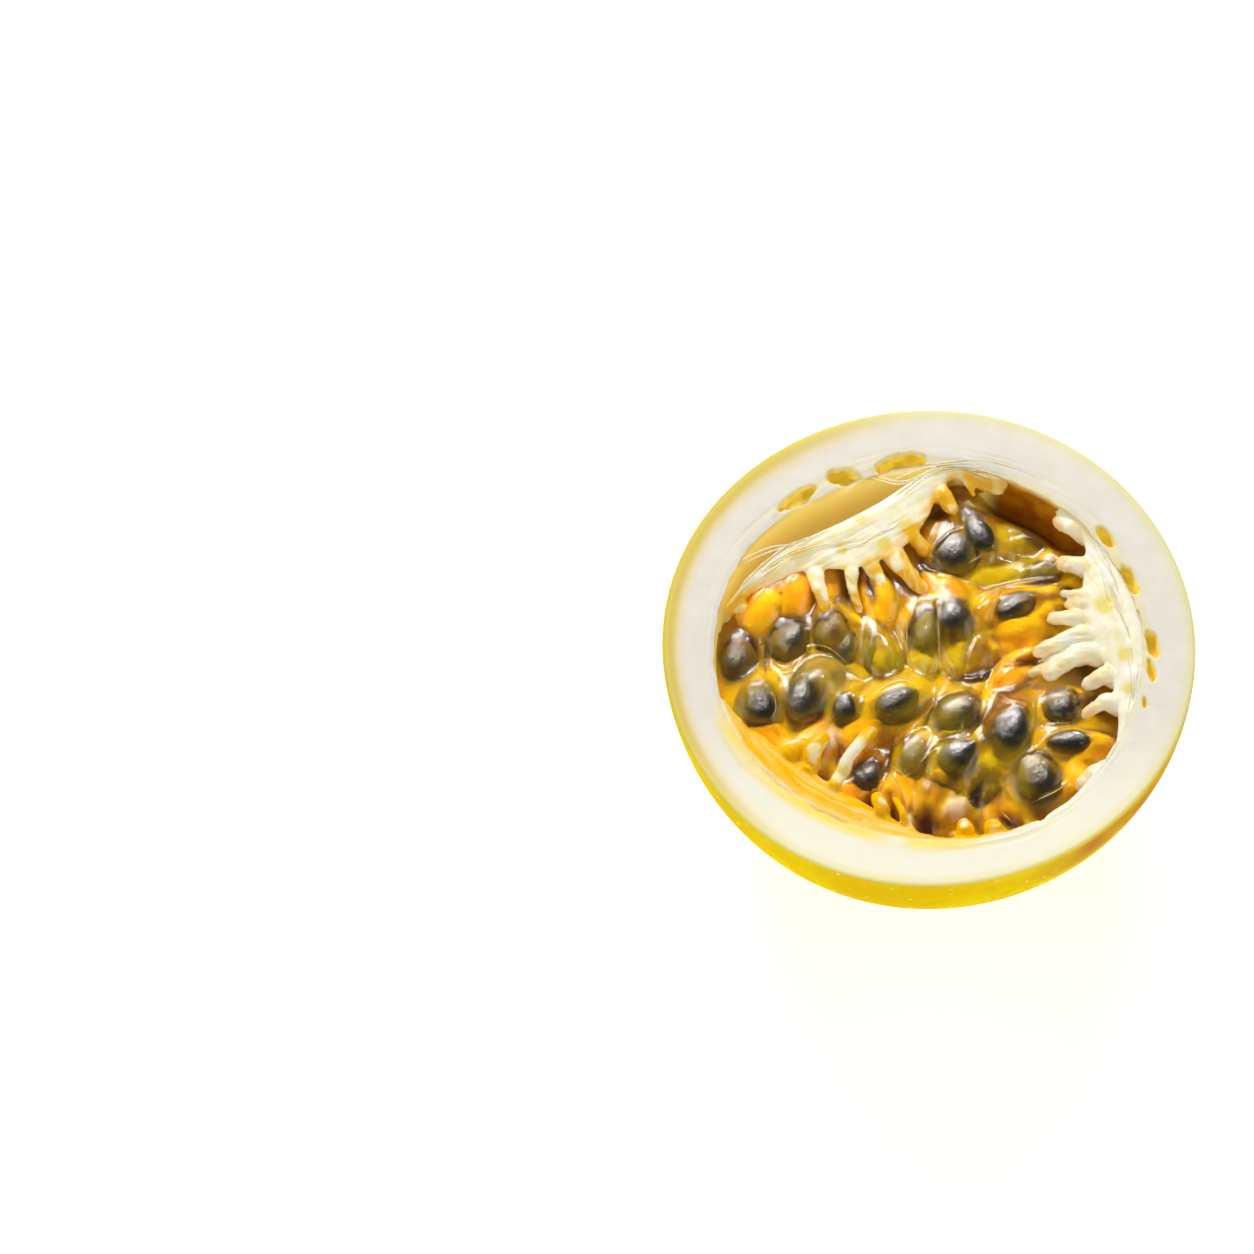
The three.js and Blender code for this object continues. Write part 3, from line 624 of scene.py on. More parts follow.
def spongy_white(f):
    """The pith: faintly cloudy white, yellow towards the skin, with cream fibres and a juice stain, and
    brighter at the front by painted light.
    """
    out = f.attribute("outward")
    flush = f.attribute("flush")
    return f.layered(
        f.mix(f.noise(4, 4, 0.55).step(0.3, 0.75), rgb(238, 232, 219), rgb(243, 238, 227)),
        # painted light: the pith's front made brighter
        (f.attribute("front"), rgb(255, 252, 234)),
        (out.step(0.5, 0.98) * flush, rgb(238, 212, 108)),
        (out.step(0.68, 0.96) * flush, rgb(216, 188, 46)),
        (out.step(0.78, 1.0) * 0.6, rgb(232, 226, 150)),
        (out.step(0.93, 1.0) * (0.45 + flush * 0.55), f.mix(flush, rgb(222, 214, 110), rgb(222, 188, 26))),
        (f.attribute("fibre"), rgb(240, 226, 170)),
        (f.attribute("stain"), rgb(252, 222, 92)),
    )


def cavity_gold(f):
    """The empty cavity's wall: cream at the lip, darkening to olive gold deeper down as painted shade, and
    brown where juice has soaked in.
    """
    # painted shade: olive gold deeper in the cavity
    wall = f.mix(f.attribute("hollow").step(0.3, 8), rgb(240, 216, 138), rgb(226, 180, 44))
    soaked = f.mix(f.noise(4, 2).step(0.35, 0.7), rgb(160, 88, 0), rgb(206, 138, 8))
    return f.mix(f.attribute("juice"), wall, soaked)


def painted_rind_glow(f):
    """Painted light as a glow: on the pith's front, in the shaded cavity and torn pockets, on the stains, and
    a faint brown glow where juice has soaked in.
    """
    inside = f.attribute("hollow").step(0.1, 2.0)
    juice = f.attribute("juice")
    return f.layered(
        BLACK,
        (f.attribute("front"), rgb(97, 88, 50)),
        (inside * (1 - juice), rgb(136, 132, 66)),
        (inside * juice, rgb(50, 22, 0)),
        (f.attribute("pit").step(0.0, 0.3), rgb(134, 124, 34)),
        (f.attribute("stain") * (1 - inside), rgb(112, 98, 36)),
    )


def rind_finish():
    """Waxy yellow skin outside, and inside it the pith, its torn pockets and the empty cavity's wall."""
    f = Finish("rind")
    torn = f.mix(f.noise(2.0, 1).step(0.4, 0.62), rgb(240, 212, 108), rgb(210, 168, 46))
    inner = f.layered(
        spongy_white(f),
        (f.attribute("hollow").step(0.0, 0.8), cavity_gold(f)),
        (f.attribute("pit").step(0.0, 0.35), torn),
    )
    flesh = f.surface(
        Base_Color=inner, Roughness=0.55, Specular_IOR_Level=0.2,
        Normal=f.bump(f.noise(0.7, 4, 0.6), 0.10, 0.6),
        # painted light: the pith, cavity and pockets glow
        Emission_Color=painted_rind_glow(f), Emission_Strength=1.0, **soft(0.4, (1.0, 0.93, 0.8), 3.0),
    )
    peel = f.surface(
        Base_Color=speckled_yellow(f), Roughness=0.4, Specular_IOR_Level=0.0,
        Normal=f.bump(f.noise(0.9, 3), 0.06, 0.6), **wet(0.03, 0.3), **soft(0.5, (1.0, 0.6, 0.05), 3.0),
    )
    return f.done(f.blend(f.attribute("skin"), flesh, peel))


def flesh_finish():
    """The flesh under the gel: opaque and mottled, orange or olive by its own tint."""
    f = Finish("flesh")
    mottle = f.noise(2.2, 3, 0.55, 0.4)
    tint = f.attribute("tint", "Color")
    base = f.mix(mottle.step(0.35, 0.8) * 0.35, tint, rgb(214, 170, 90), "MULTIPLY")
    base = f.mix(f.noise(3.2, 2, 0.5).step(0.5, 0.8) * 0.4, base, rgb(196, 136, 70), "MULTIPLY")
    return f.done(f.surface(
        Base_Color=base, Roughness=0.6, Specular_IOR_Level=0.0, Normal=f.bump(mottle, 0.3, 0.6),
        **soft(0.35, (1.0, 0.6, 0.1), 1.2),
    ))


def gel_finish():
    """Clear juice: tinted orange by the stalks and olive at the seeds, wet and sharp in its gloss."""
    f = Finish("gel")
    normal = f.bump(f.noise(0.45, 2, 0.5), 0.03, 0.5, f.bump(f.noise(1.6, 2, 0.5), 0.10, 0.4))
    clear = f.surface(
        Base_Color=f.attribute("tint", "Color"), Roughness=0.28, IOR=1.34, Transmission_Weight=0.99,
        Normal=normal, **wet(0.7 - f.attribute("calm") * 0.4, 0.1),
    )
    milky = f.surface(Base_Color=rgb(244, 228, 150), Roughness=0.25, Normal=normal, **wet(0.8, 0.08))
    depth = f.node("ShaderNodeVolumeAbsorption", None, {"Color": rgb(248, 242, 44), "Density": 330.0})
    return f.done(f.blend(f.attribute("veil") * 0.4, clear, milky), Volume=depth)


def membrane_finish(name, gloss, painted_glow):
    """Cream fibrous membrane, translucent, lemon in places, orange where juice has soaked in, olive gold deep
    in the cavity as painted shade, and lit by a painted glow.
    """
    f = Finish(name)
    fibre = f.attribute("fibre")
    streak = fibre.step(0.52, 0.78)
    soaked = f.attribute("soaked")
    deep = f.attribute("deep")
    base = f.layered(
        f.mix(f.noise(2.4, 2, 0.5).step(0.35, 0.68), rgb(251, 242, 210), rgb(255, 252, 238)),
        (f.attribute("spot") * 0.85, rgb(244, 220, 84)),
        (streak * 0.55, rgb(255, 246, 206)),
        ((1 - fibre).step(0.55, 0.85) * 0.25, rgb(246, 206, 70)),
        (soaked * (1 - streak * 0.45), rgb(255, 192, 0)),
        # painted shade: olive gold deep below the cut
        (deep, rgb(214, 150, 10)),
    )
    return f.done(f.surface(
        Base_Color=base, Roughness=0.36, Specular_IOR_Level=0.5 * gloss, **wet(0.3 * gloss, 0.1),
        Normal=f.bump(fibre, 0.3, 0.5, f.bump(f.noise(0.5, 3, 0.55), 0.10, 0.5)),
        # painted light: the membrane glows, more where soaked, not where deep
        Emission_Color=f.layered(painted_glow, (soaked, rgb(64, 46, 0)), (deep, BLACK)), Emission_Strength=1.0,
        **soft(0.25, (1.0, 0.95, 0.8), 1.2),
    ))


def strand_finish():
    """Thin wet fibres, nearly white."""
    f = Finish("strand")
    base = f.mix(f.noise(3.0).step(0.35, 0.7), rgb(252, 247, 224), rgb(248, 226, 140))
    return f.done(f.surface(
        Base_Color=base, Roughness=0.25, **wet(0.5, 0.05), **soft(0.3, (1.0, 0.8, 0.4), 0.8)))


def thread_finish():
    """Wet golden threads on the gel, seen mostly by their gloss."""
    f = Finish("thread")
    base = f.mix(f.noise(1.5).step(0.4, 0.7), rgb(236, 176, 40), rgb(252, 226, 140))
    return f.done(f.surface(Base_Color=base, Roughness=0.3, **wet(1.0, 0.05)))


def bubble_finish():
    """Thin clear skin round air."""
    f = Finish("bubble")
    return f.done(f.surface(
        Base_Color=rgb(255, 246, 200), Roughness=0.05, IOR=1.15, Transmission_Weight=1.0, **wet(1.0, 0.03)))


def seed_finish():
    """Charcoal seeds, pitted, with a pale blue-grey painted highlight on the side that faces the key light;
    cloudy gel hides what lies deep.
    """
    f = Finish("seed")
    pits = f.cells(0.5)
    bloom = f.attribute("bloom")
    base = f.layered(
        f.mix(f.noise(1.4, 3).step(0.35, 0.75), rgb(26, 24, 24), rgb(58, 55, 60)),
        # painted highlight: a pale blue-grey patch, less metallic, on the side that faces the key light
        (bloom, rgb(154, 152, 180)),
        ((1 - pits.step(0.1, 0.35)) * 0.7, rgb(24, 22, 24)),
    )
    seed = f.surface(
        Base_Color=base, Metallic=1 - bloom * 0.5, Roughness=0.38, Specular_IOR_Level=0.3,
        Normal=f.bump(pits, 0.10, 0.6),
    )
    cloud = f.surface(Base_Color=f.attribute("tint", "Color"), Roughness=0.6, Specular_IOR_Level=0.0)
    return f.done(f.blend(f.attribute("sunk"), seed, cloud))


# ---- rind ----
def lumpy(angle):
    """The fruit's radius at the cut in a direction."""
    return RADIUS * (1 + sum(share * np.cos(waves * angle + phase) for waves, share, phase in LUMPS))


def cavity_edge(x, y):
    """Distance from the middle to the cavity's edge on the cut, in the direction of a spot."""
    turns, reach = np.array(CAVITY_EDGE).T
    turns = np.concatenate([turns - 360, turns, turns + 360])
    reach = np.tile(reach, 3)
    turn = np.degrees(np.arctan2(y, x)) % 360
    spot = np.searchsorted(turns, turn) - 1
    t = (turn - turns[spot]) / (turns[spot + 1] - turns[spot])
    return eased(*(reach[spot + k] for k in (-1, 0, 1, 2)), t)


def pocket_share(x, y):
    """How far inside a torn pocket a spot is, 0 to 1, the pocket's depth there, and the stain round it."""
    spots = np.stack([x, y], -1)
    ragged = 0.22 * noise(spots, 1.1, 11) + 0.05 * noise(spots, 0.4, 12)
    share, depth, halo = np.zeros((3, len(x)))
    for *place, deep in POCKETS:
        away = oval(x, y, *place) + ragged
        inside = fade(0.7, 1.08, away)
        share = np.maximum(share, inside)
        depth = np.maximum(depth, deep * inside)
        halo = np.maximum(halo, fade(0.9, 1.9, away))
    return share, depth, halo


def rind_section():
    """Rows of the rind's section from the outer pole to the inner one: kind and place on it."""
    wall = np.radians(np.concatenate([np.linspace(88, 6, 40), np.linspace(4, 0.6, 5)]))
    face = np.concatenate([np.linspace(0.995, 0.6, 12), np.linspace(0.57, 0.02, 24)])
    inner = np.concatenate([np.linspace(0.25, 6, 16), np.linspace(6.8, 27, 14)])
    return [(kind, at) for kind, row in (("outer", wall), ("face", face), ("inner", inner)) for at in row]


def face_row(at, unit, outer, edge, torn):
    """A row round the cut: radius, height, how far inside a pocket, and fibres, at a share of the way out."""
    radius = edge + torn * (1 - at) + (outer - BEVEL - edge) * at
    spots = unit * radius[:, None]
    pit, drop, halo = pocket_share(*spots.T)
    flow = np.column_stack([spots / 9.0, (radius - edge) / 0.42 + noise(spots, 7.0, 27)])
    grooves = smoothstep(0.0, 0.7, noise(flow, 1.0, 28) * fade(0.1, 0.55, at))
    sponge = 0.10 * (0.5 + 0.5 * noise(spots, 1.2, 23)) * (1 - at)
    height = CUT - LIP * fade(0.0, 0.12, at) - 0.9 * drop - sponge - 0.1 * grooves
    return radius, height, pit, np.maximum(0.5 * grooves, 0.75 * halo)


def rind_row(kind, at, unit, outer, edge, torn):
    """A row round the rind: radius, height, how far inside a pocket, and fibres."""
    if kind == "face":
        return face_row(at, unit, outer, edge, torn)
    none = np.zeros(len(unit))
    if kind == "outer":
        return outer * math.cos(at), none + max(0.0, CUT - DEPTH * math.sin(at)), none, none
    radius = (edge + torn * math.exp(-at / TORN_REACH)) * math.sqrt(1 - (at / CAVITY_DEPTH) ** 2)
    radius = radius + 0.08 * noise(np.column_stack([unit * radius[:, None], none + at]), 3.0, 24)
    return radius, none + CUT - at, none, none


def rind_marks(points):
    """Bruise, juice, stains and tints on the rind, and its front, which takes painted light and shade."""
    x, y, z = points.T
    turn = np.degrees(np.arctan2(y, x))
    below = CUT - z
    reach = np.hypot(x, y) - cavity_edge(x, y)
    bruise = window(-72, -55, -30, -14, turn) * window(0.2, 1.4, 5.0, 11.0, below)
    stain = window(-168, -150, -84, -70, turn) * fade(0.4, 2.3, reach)
    faint = window(-40, -20, 44, 56, turn) * fade(0.2, 1.8, reach)
    dip = window(26, 36, 62, 72, turn) * fade(0.0, 1.3, reach)
    stains = (
        0.95 * stain * smoothstep(-0.9, 0.2, noise(points, (4.0, 4.0, 9.0), 29)),
        0.4 * faint * (0.55 + 0.45 * noise(points, (3.0, 3.0, 9.0), 30)),
        0.35 * dip,
    )
    return {
        "stain": np.max(stains, axis=0),
        "juice": smoothstep(0.2, 1.8, below) * smoothstep(74, 66, turn) * smoothstep(-170, -160, turn),
        "bruise": bruise * (0.75 + 0.35 * noise(points, 3.0, 25)),
        "green": 0.3 * fade(0.2, 3.5, below) * (0.6 + 0.4 * noise(points, 6.0, 26)),
        # front: where the skin gets painted shade and the pith painted light and glow
        "front": smoothstep(-6.0, -30.0, y) * 0.8,
        "flush": 0.08 + 0.92 * smoothstep(0.2, 0.95, np.cos(np.radians(turn - 165))),
    }


def make_rind():
    """The thick cup: skin, cut face with torn pockets, and the cavity's wall, closed at both poles."""
    angle = np.linspace(0, 2 * np.pi, RIND_COLUMNS, endpoint=False)
    unit = np.stack([np.cos(angle), np.sin(angle)], -1)
    outer, edge = lumpy(angle), cavity_edge(*unit.T)
    lip = unit * edge[:, None]
    torn = 0.22 * noise(lip, 1.6, 21) + 0.10 * noise(lip, 0.6, 22)
    points, layers = [], []
    for kind, at in rind_section():
        radius, height, pit, fibre = rind_row(kind, at, unit, outer, edge, torn)
        points.append(np.column_stack([unit * radius[:, None], height]))
        skin, hollow, outward = {"outer": (1, 0, 1), "face": (0, 0, at), "inner": (0, at, 0)}[kind]
        layers.append(np.column_stack(np.broadcast_arrays(skin, hollow, outward, pit, fibre)))
    faces = ring_quads(len(points), RIND_COLUMNS).tolist()
    pole = len(points) * RIND_COLUMNS
    last_row = pole - RIND_COLUMNS
    for k in range(RIND_COLUMNS):
        after = (k + 1) % RIND_COLUMNS
        faces += [(pole, after, k), (pole + 1, last_row + k, last_row + after)]
    points = np.vstack([*points, (0, 0, 0), (0, 0, CUT - CAVITY_DEPTH)])
    layers = np.vstack([*layers, (1, 0, 1, 0, 0), (0, CAVITY_DEPTH, 0, 0, 0)])
    named = dict(zip(("skin", "hollow", "outward", "pit", "fibre"), layers.T))
    return mesh_piece("rind_shell", points, faces, **named, **rind_marks(points))


# ---- pulp ----
def nearest(line, x, y):
    """How far a spot is from a line of points in mm, and a number whose sign tells on which side it lies."""
    best = np.full(x.shape, np.inf)
    side = np.zeros(x.shape)
    for (ax, ay), (bx, by) in zip(line[:-1], line[1:]):
        dx, dy = bx - ax, by - ay
        t = np.clip(((x - ax) * dx + (y - ay) * dy) / (dx * dx + dy * dy), 0, 1)
        gap = np.hypot(x - ax - t * dx, y - ay - t * dy)
        near = gap < best
        best = np.where(near, gap, best)
        side = np.where(near, dx * (y - ay) - dy * (x - ax), side)
    return best, side


def past(line, x, y):
    """How far a spot lies outside a clockwise line of points, in mm; less than 0 inside it."""
    far, side = nearest(line, x, y)
    return np.where(side > 0, far, -far)


def past_outer(rows, x, y):
    """How far a spot lies past a membrane's outer edge; less than 0 on the pulp's side."""
    return past([row[:2] for row in rows], x, y)


def past_inner(rows, x, y):
    """How far a spot lies past a membrane's free edge, under its band; less than 0 in the open."""
    return past([row[2:] for row in rows], x, y)


def under_webs(x, y):
    """How far a spot lies under the nearest membrane; less than 0 in the open."""
    return np.max([past_inner(web, x, y) for web in (LEFT_WEB, RIGHT_WEB, FRONT_WEB)], axis=0)


def sac_fields(x, y):
    """For each sac: its height at a spot, deep outside it, how far on to its seed, and its fibres."""
    heights, along, fibres = [], [], []
    for number, (sx, sy, depth, long, wide, heading, _) in enumerate(SACS):
        u, v = turned(x - sx, y - sy, heading)
        fibres.append(noise(np.stack([u / 5.0, v / 0.7 + 9 * number], -1), 1.0, 43))
        u = u / (long / 2)
        narrow = 1 - SAC_TAPER * np.clip((1 - u) / 2, 0, 1) ** 1.4
        v = v / (wide / 2 * narrow)
        reach = u * u + v * v
        rise = wide / 2 * (1.0 if number == BUBBLE else SAC_RISE)
        dome = rise * narrow * np.sqrt(np.clip(1 - reach, 0, None))
        outside = np.clip(reach - 1, 0, None)
        heights.append(CUT - depth - rise + dome - 2.5 * outside)
        along.append(np.clip(u, -1, 1))
    return np.array(heights), np.array(along), np.array(fibres)


def seed_fields(x, y):
    """The gel's height over each seed, then the flesh's lowest height, its shade and how clear the gel is."""
    covers = []
    pit = np.full(x.shape, CUT)
    shade, clear = np.zeros((2, *x.shape))
    for sx, sy, depth, long, wide, heading, sunk in SEEDS:
        u, v = turned(x - sx, y - sy, heading)
        reach = (u / (long / 2)) ** 2 + (v / (wide / 2)) ** 2
        covers.append(CUT - depth + SEED_COVER - COVER_FALL * wide * reach)
        plain = fade(0.5, 0.8, sunk)
        pit = np.minimum(pit, CUT - plain * fade(0.8, 1.8, reach) * (depth + sunk + 0.55 * wide))
        shade = np.maximum(shade, (0.8 + 0.2 * plain) * fade(0.8 - 0.7 * (1 - plain), 2.4, reach))
        clear = np.maximum(clear, plain * fade(0.35, 1.15, reach))
    return np.array(covers), pit, shade, clear


def mark_fields(spots):
    """How strongly each tone marks a spot, 0 to 1."""
    ragged = 0.3 * noise(spots, 1.6, 41) + 0.15 * noise(spots, 0.7, 42)
    x, y = spots[..., 0], spots[..., 1]
    return {
        tone: np.max([fade(0.3, 1.5, oval(x, y, *row) + ragged) for row in rows], axis=0)
        for tone, rows in MARKS.items()
    }


def groove_field(x, y):
    """Where the pulp has sunk away from the rind, 0 to 1."""
    turn = np.degrees(np.arctan2(y, x))
    return window(34, 46, 66, 78, turn) * fade(1.2, 4.6, cavity_edge(x, y) - np.hypot(x, y))


ORANGE, AMBER, OLIVE, BROWN, WET_BROWN = np.array(
    [rgb(255, 200, 4), rgb(206, 114, 0), rgb(244, 216, 0), rgb(166, 124, 0), rgb(122, 66, 0)])
# Tones of the marks that colour the flesh, and how far each lifts it to the gel's surface.
TONES = {
    "gold": np.array(rgb(255, 212, 6)), "cream": np.array(rgb(255, 230, 196)),
    # the dark tone is painted shade in pockets between sacs and stalks, with dark brown juice
    "dark": np.array(rgb(108, 52, 0)), "lime": np.array(rgb(214, 188, 12)),
}
LIFTS = {"cream": 1.0, "gold": 0.85, "lime": 0.6}
GEL_ORANGE, GEL_OLIVE, GEL_GOLD, GEL_CLEAR, GEL_SEED = np.array(
    [rgb(255, 226, 64), rgb(246, 238, 54), rgb(255, 236, 130), rgb(250, 244, 226), rgb(251, 243, 212)])


def gel_height(x, y, stack, covers, crease, fibre):
    """Sacs and seeds melted together under gel, with its creases, fibres and threads."""
    spots = np.stack([x, y], -1)
    gel = soft_max(np.stack([soft_max(stack, 0.32), soft_max(covers, 0.32)]), 0.6) + 0.13 * crease
    gel = gel + 0.06 * noise(spots, 1.7, 32) + 0.02 * noise(spots, 0.8, 33) + 0.05 * fibre
    for thick, *line in PULP_THREADS:
        gel = gel + 1.3 * thick * np.exp(-((nearest(line, x, y)[0] / 0.3) ** 2))
    return gel


def flesh_height(spots, gel, smooth, olive, marks):
    """The flesh under the gel: near it in orange sacs, deep in olive ones, lifted or sunk at marks."""
    flesh = np.minimum(gel - (0.35 + 2.6 * olive), smooth - 0.3) + 0.25 * noise(spots, 1.1, 35) * (1 - olive)
    lifted = np.max([share * marks[tone] for tone, share in LIFTS.items()], axis=0)
    return flesh + (gel - 0.1 - flesh) * lifted - 0.8 * marks["dark"]


def gel_colour(olive, marks, cleared):
    """The gel's tint."""
    return blended(
        GEL_ORANGE, (olive, GEL_OLIVE), (0.7 * marks["gold"], GEL_GOLD), (marks["cream"], GEL_CLEAR),
        (cleared, GEL_SEED),
    )


def flesh_colour(spots, olive, gap, fibre, marks, shaded, groove, swollen):
    """The flesh's tint: orange and olive sacs, with painted shade where they meet and round the seeds, and
    darker in the groove.
    """
    dark = smoothstep(-0.1, 0.8, noise(spots, 3.0, 36) + 0.5 * fibre)
    warm = blended(ORANGE, (0.5 * dark, AMBER))
    cool = blended(OLIVE, (dark, BROWN))
    # painted shade in the creases where sacs meet
    painted_crease_shade = np.exp(-((gap / 0.7) ** 2)) * smoothstep(-0.6, 0.2, noise(spots, 2.6, 38))
    tint = blended(warm, (olive, cool)) * (1 - 0.48 * painted_crease_shade)[..., None]
    tint = blended(tint, *((marks[tone], colour) for tone, colour in TONES.items()))
    # painted shade round the seeds
    tint = tint * (1 - 0.45 * shaded * (1 - marks["cream"]))[..., None]
    tint = blended(tint, (groove, WET_BROWN)) * (1 - 0.35 * swollen)[..., None]
    tint[..., 3] = 1
    return tint


def pulp_fields(x, y):
    """At spots: height and tint of the gel and of the flesh under it, and how milky and calm the gel is."""
    spots = np.stack([x, y], -1)
    heights, along, fibres = sac_fields(x, y)
    covers, pits, shaded, cleared = seed_fields(x, y)
    marks = mark_fields(spots)
    groove = groove_field(x, y)
    juice = CUT - JUICE_DEPTH + 0.5 * noise(spots, 5.0, 31)
    stack = np.concatenate([heights, juice[None]])
    ordered = np.sort(stack, axis=0)
    gap = ordered[-1] - ordered[-2]
    crease = np.exp(-((gap / 0.2) ** 2)) * smoothstep(-0.3, 0.5, noise(spots, 3.0, 37))
    weight = np.exp((stack - stack.max(0)) / 0.35)
    weight /= weight.sum(0)
    fibre = (weight[:-1] * fibres).sum(0)
    own = np.array([row[-1] for row in SACS])[:, None] * (0.7 + 0.6 * smoothstep(-0.9, 0.2, along))
    olive = (weight[:-1] * own).sum(0) + weight[-1] * JUICE_OLIVE
    olive = np.clip(olive + 0.12 * noise(spots, 2.2, 34), 0, 1)
    lowered = 4.0 * groove + 1.3 * smoothstep(0.3, 2.1, under_webs(x, y)) + 0.5 * marks["dark"]
    gel = gel_height(x, y, stack, covers, crease, fibre * (1 - cleared)) - lowered
    flesh = flesh_height(spots, gel, soft_max(stack, 0.9) - lowered, olive, marks)
    swollen = np.clip(heights[BUBBLE] - heights.max(0) + 0.6, 0, 0.6) / 0.6
    streaks = smoothstep(-0.2, 0.5, noise(spots, (0.5, 1.8), 39))
    milky = [0.12 * crease, 0.22 * swollen * (1 - cleared), 0.9 * marks["milk"] * streaks]
    return {
        "gel": gel,
        "flesh": np.minimum(flesh, pits),
        "gel tint": gel_colour(olive, marks, cleared),
        "flesh tint": flesh_colour(spots, olive, gap, fibre, marks, shaded, groove, swollen),
        "veil": np.max(milky, axis=0),
        "calm": cleared,
    }


def pulp_grid(step, margin):
    """Spots on a square grid inside the cavity's edge and the left membrane, and the cells between them."""
    ticks = np.arange(-GRID_REACH, GRID_REACH + step / 2, step)
    x, y = np.meshgrid(ticks, ticks, indexing="ij")
    inside = (np.hypot(x, y) < cavity_edge(x, y) + margin) & (past_outer(LEFT_WEB, x, y) < -0.5)
    cells = inside[:-1, :-1] & inside[1:, :-1] & inside[1:, 1:] & inside[:-1, 1:]
    used = np.zeros(inside.shape, bool)
    for dx, dy in itertools.product((0, 1), repeat=2):
        used[dx:dx + cells.shape[0], dy:dy + cells.shape[1]] |= cells
    number = np.full(inside.shape, -1)
    number[used] = np.arange(used.sum())
    i, j = np.nonzero(cells)
    quads = np.stack([number[i, j], number[i + 1, j], number[i + 1, j + 1], number[i, j + 1]], -1)
    return x[used], y[used], quads


def slab(name, x, y, quads, top, bottom, **layers):
    """A closed body between two heights over the cells of a grid."""
    count = len(x)
    points = np.column_stack([np.tile(x, 2), np.tile(y, 2), np.append(top, bottom)])
    rim = {}
    for quad in quads.tolist():
        for a, b in zip(quad, quad[1:] + quad[:1]):
            if rim.pop((b, a), None) is None:
                rim[(a, b)] = True
    faces = quads.tolist() + (quads[:, ::-1] + count).tolist()
    faces += [(b, a, a + count, b + count) for a, b in rim]
    return mesh_piece(name, points, faces, **{key: np.concatenate([row, row]) for key, row in layers.items()})


def make_flesh():
    """The flesh from under the gel down to the cavity's floor."""
    x, y, quads = pulp_grid(0.4, 0.25)
    pulp = pulp_fields(x, y)
    bowl = np.sqrt(np.clip(1 - (np.hypot(x, y) / FLESH_REACH) ** 2, 0, None))
    bottom = np.minimum(CUT - (CAVITY_DEPTH - FLESH_GAP) * bowl, pulp["flesh"] - 0.6)
    return slab("flesh", x, y, quads, pulp["flesh"], bottom, tint=pulp["flesh tint"])


def make_gel():
    """The clear gel, a little way into the flesh."""
    x, y, quads = pulp_grid(0.25, 0.3)
    pulp = pulp_fields(x, y)
    bottom = np.minimum(pulp["flesh"], pulp["gel"] - 0.3) - 0.8
    layers = {"tint": pulp["gel tint"], "veil": pulp["veil"], "calm": pulp["calm"]}
    piece = slab("gel", x, y, quads, pulp["gel"], bottom, **layers)
    piece.visible_shadow = False  # so that the flesh under it stays lit
    return piece


# ---- seeds and bubbles ----
def scatter_tree():
    """Sets one of several shapes on each point, turned and sized by its attributes."""
    net = ShapeNet("set_shapes", Shapes="Collection", Size="Float", Tumble="Float", Random_seed="Int")
    shapes = net.node("GeometryNodeCollectionInfo", None, {
        "Collection": net.given("Shapes"), "Separate Children": True, "Reset Children": True})
    size = net.node("ShaderNodeVectorMath", {"operation": "SCALE"}, {
        0: net.attribute("size", "FLOAT_VECTOR"), "Scale": net.given("Size")})
    placed = net.node("GeometryNodeInstanceOnPoints", None, {
        "Points": net.given("Geometry"), "Instance": shapes, "Pick Instance": True,
        "Rotation": net.attribute("turn", "FLOAT_VECTOR"), "Scale": size})
    tumble = net.node("FunctionNodeRandomValue", {"data_type": "FLOAT_VECTOR"}, {
        "Min": net.given("Tumble") * -1, "Max": net.given("Tumble"), "Seed": net.given("Random seed")})
    return net.ended(net.node("GeometryNodeRotateInstances", None, {"Instances": placed, "Rotation": tumble}))


def scattered(name, points, turns, sizes, shapes, tumble, seed, material):
    """One piece of shapes set on points, with sizes in mm; the loose shapes are cleared away."""
    home = bpy.data.collections.new(name + "_shapes")
    for shape in shapes:
        for user in shape.users_collection:
            user.objects.unlink(shape)
        home.objects.link(shape)
    piece = mesh_piece(name, points, [], turn=turns, size=np.array(sizes) * MM)
    settings = {"Size": 1.0, "Tumble": tumble, "Random_seed": seed}
    nodes_modifier(piece, scatter_tree(), Shapes=home, Material=material, **settings)
    settled(piece)
    for shape in shapes:
        bpy.data.objects.remove(shape)
    return piece


def bubble_rows():
    """The named bubbles and a scatter of tiny ones along the creases of the gel."""
    draw = np.random.default_rng(78)
    x, y = draw.uniform(-28, 28, (2, 1400))
    heights = np.sort(sac_fields(x, y)[0], axis=0)
    keep = (heights[-1] - heights[-2] < 0.5) & (under_webs(x, y) < -0.6)
    keep &= cavity_edge(x, y) - np.hypot(x, y) > 1.5
    tiny = np.column_stack([x[keep], y[keep], draw.uniform(0.12, 0.3, keep.sum())])
    return np.vstack([BUBBLES, tiny[:TINY_BUBBLES]])


def make_bubbles(material):
    """Small glassy balls half sunk in the gel."""
    bpy.ops.mesh.primitive_uv_sphere_add(segments=16, ring_count=8, radius=1)
    ball = bpy.context.object
    ball.data.shade_smooth()
    x, y, radius = bubble_rows().T
    points = np.column_stack([x, y, pulp_fields(x, y)["gel"] + 0.1 * radius])
    return scattered("bubbles", points, 0 * points, np.tile(radius[:, None], 3), [ball], 0.0, 5, material)


def seed_shape(number):
    """One seed of unit half sizes: an egg with a blunt tip, pitted all over."""
    bpy.ops.mesh.primitive_ico_sphere_add(subdivisions=4, radius=1)
    piece = bpy.context.object
    piece.name = f"seed_shape_{number}"
    draw = 40 + 5 * number
    points = read(piece.data.vertices, "co")
    points[:, 1] *= 1 - 0.22 * points[:, 0] - 0.10 * points[:, 0] ** 2
    points *= (1 + 0.035 * noise(points, 0.28, draw) + 0.03 * noise(points, 0.6, draw + 1))[:, None]
    piece.data.vertices.foreach_set("co", points.ravel())
    piece.data.shade_smooth()
    return piece


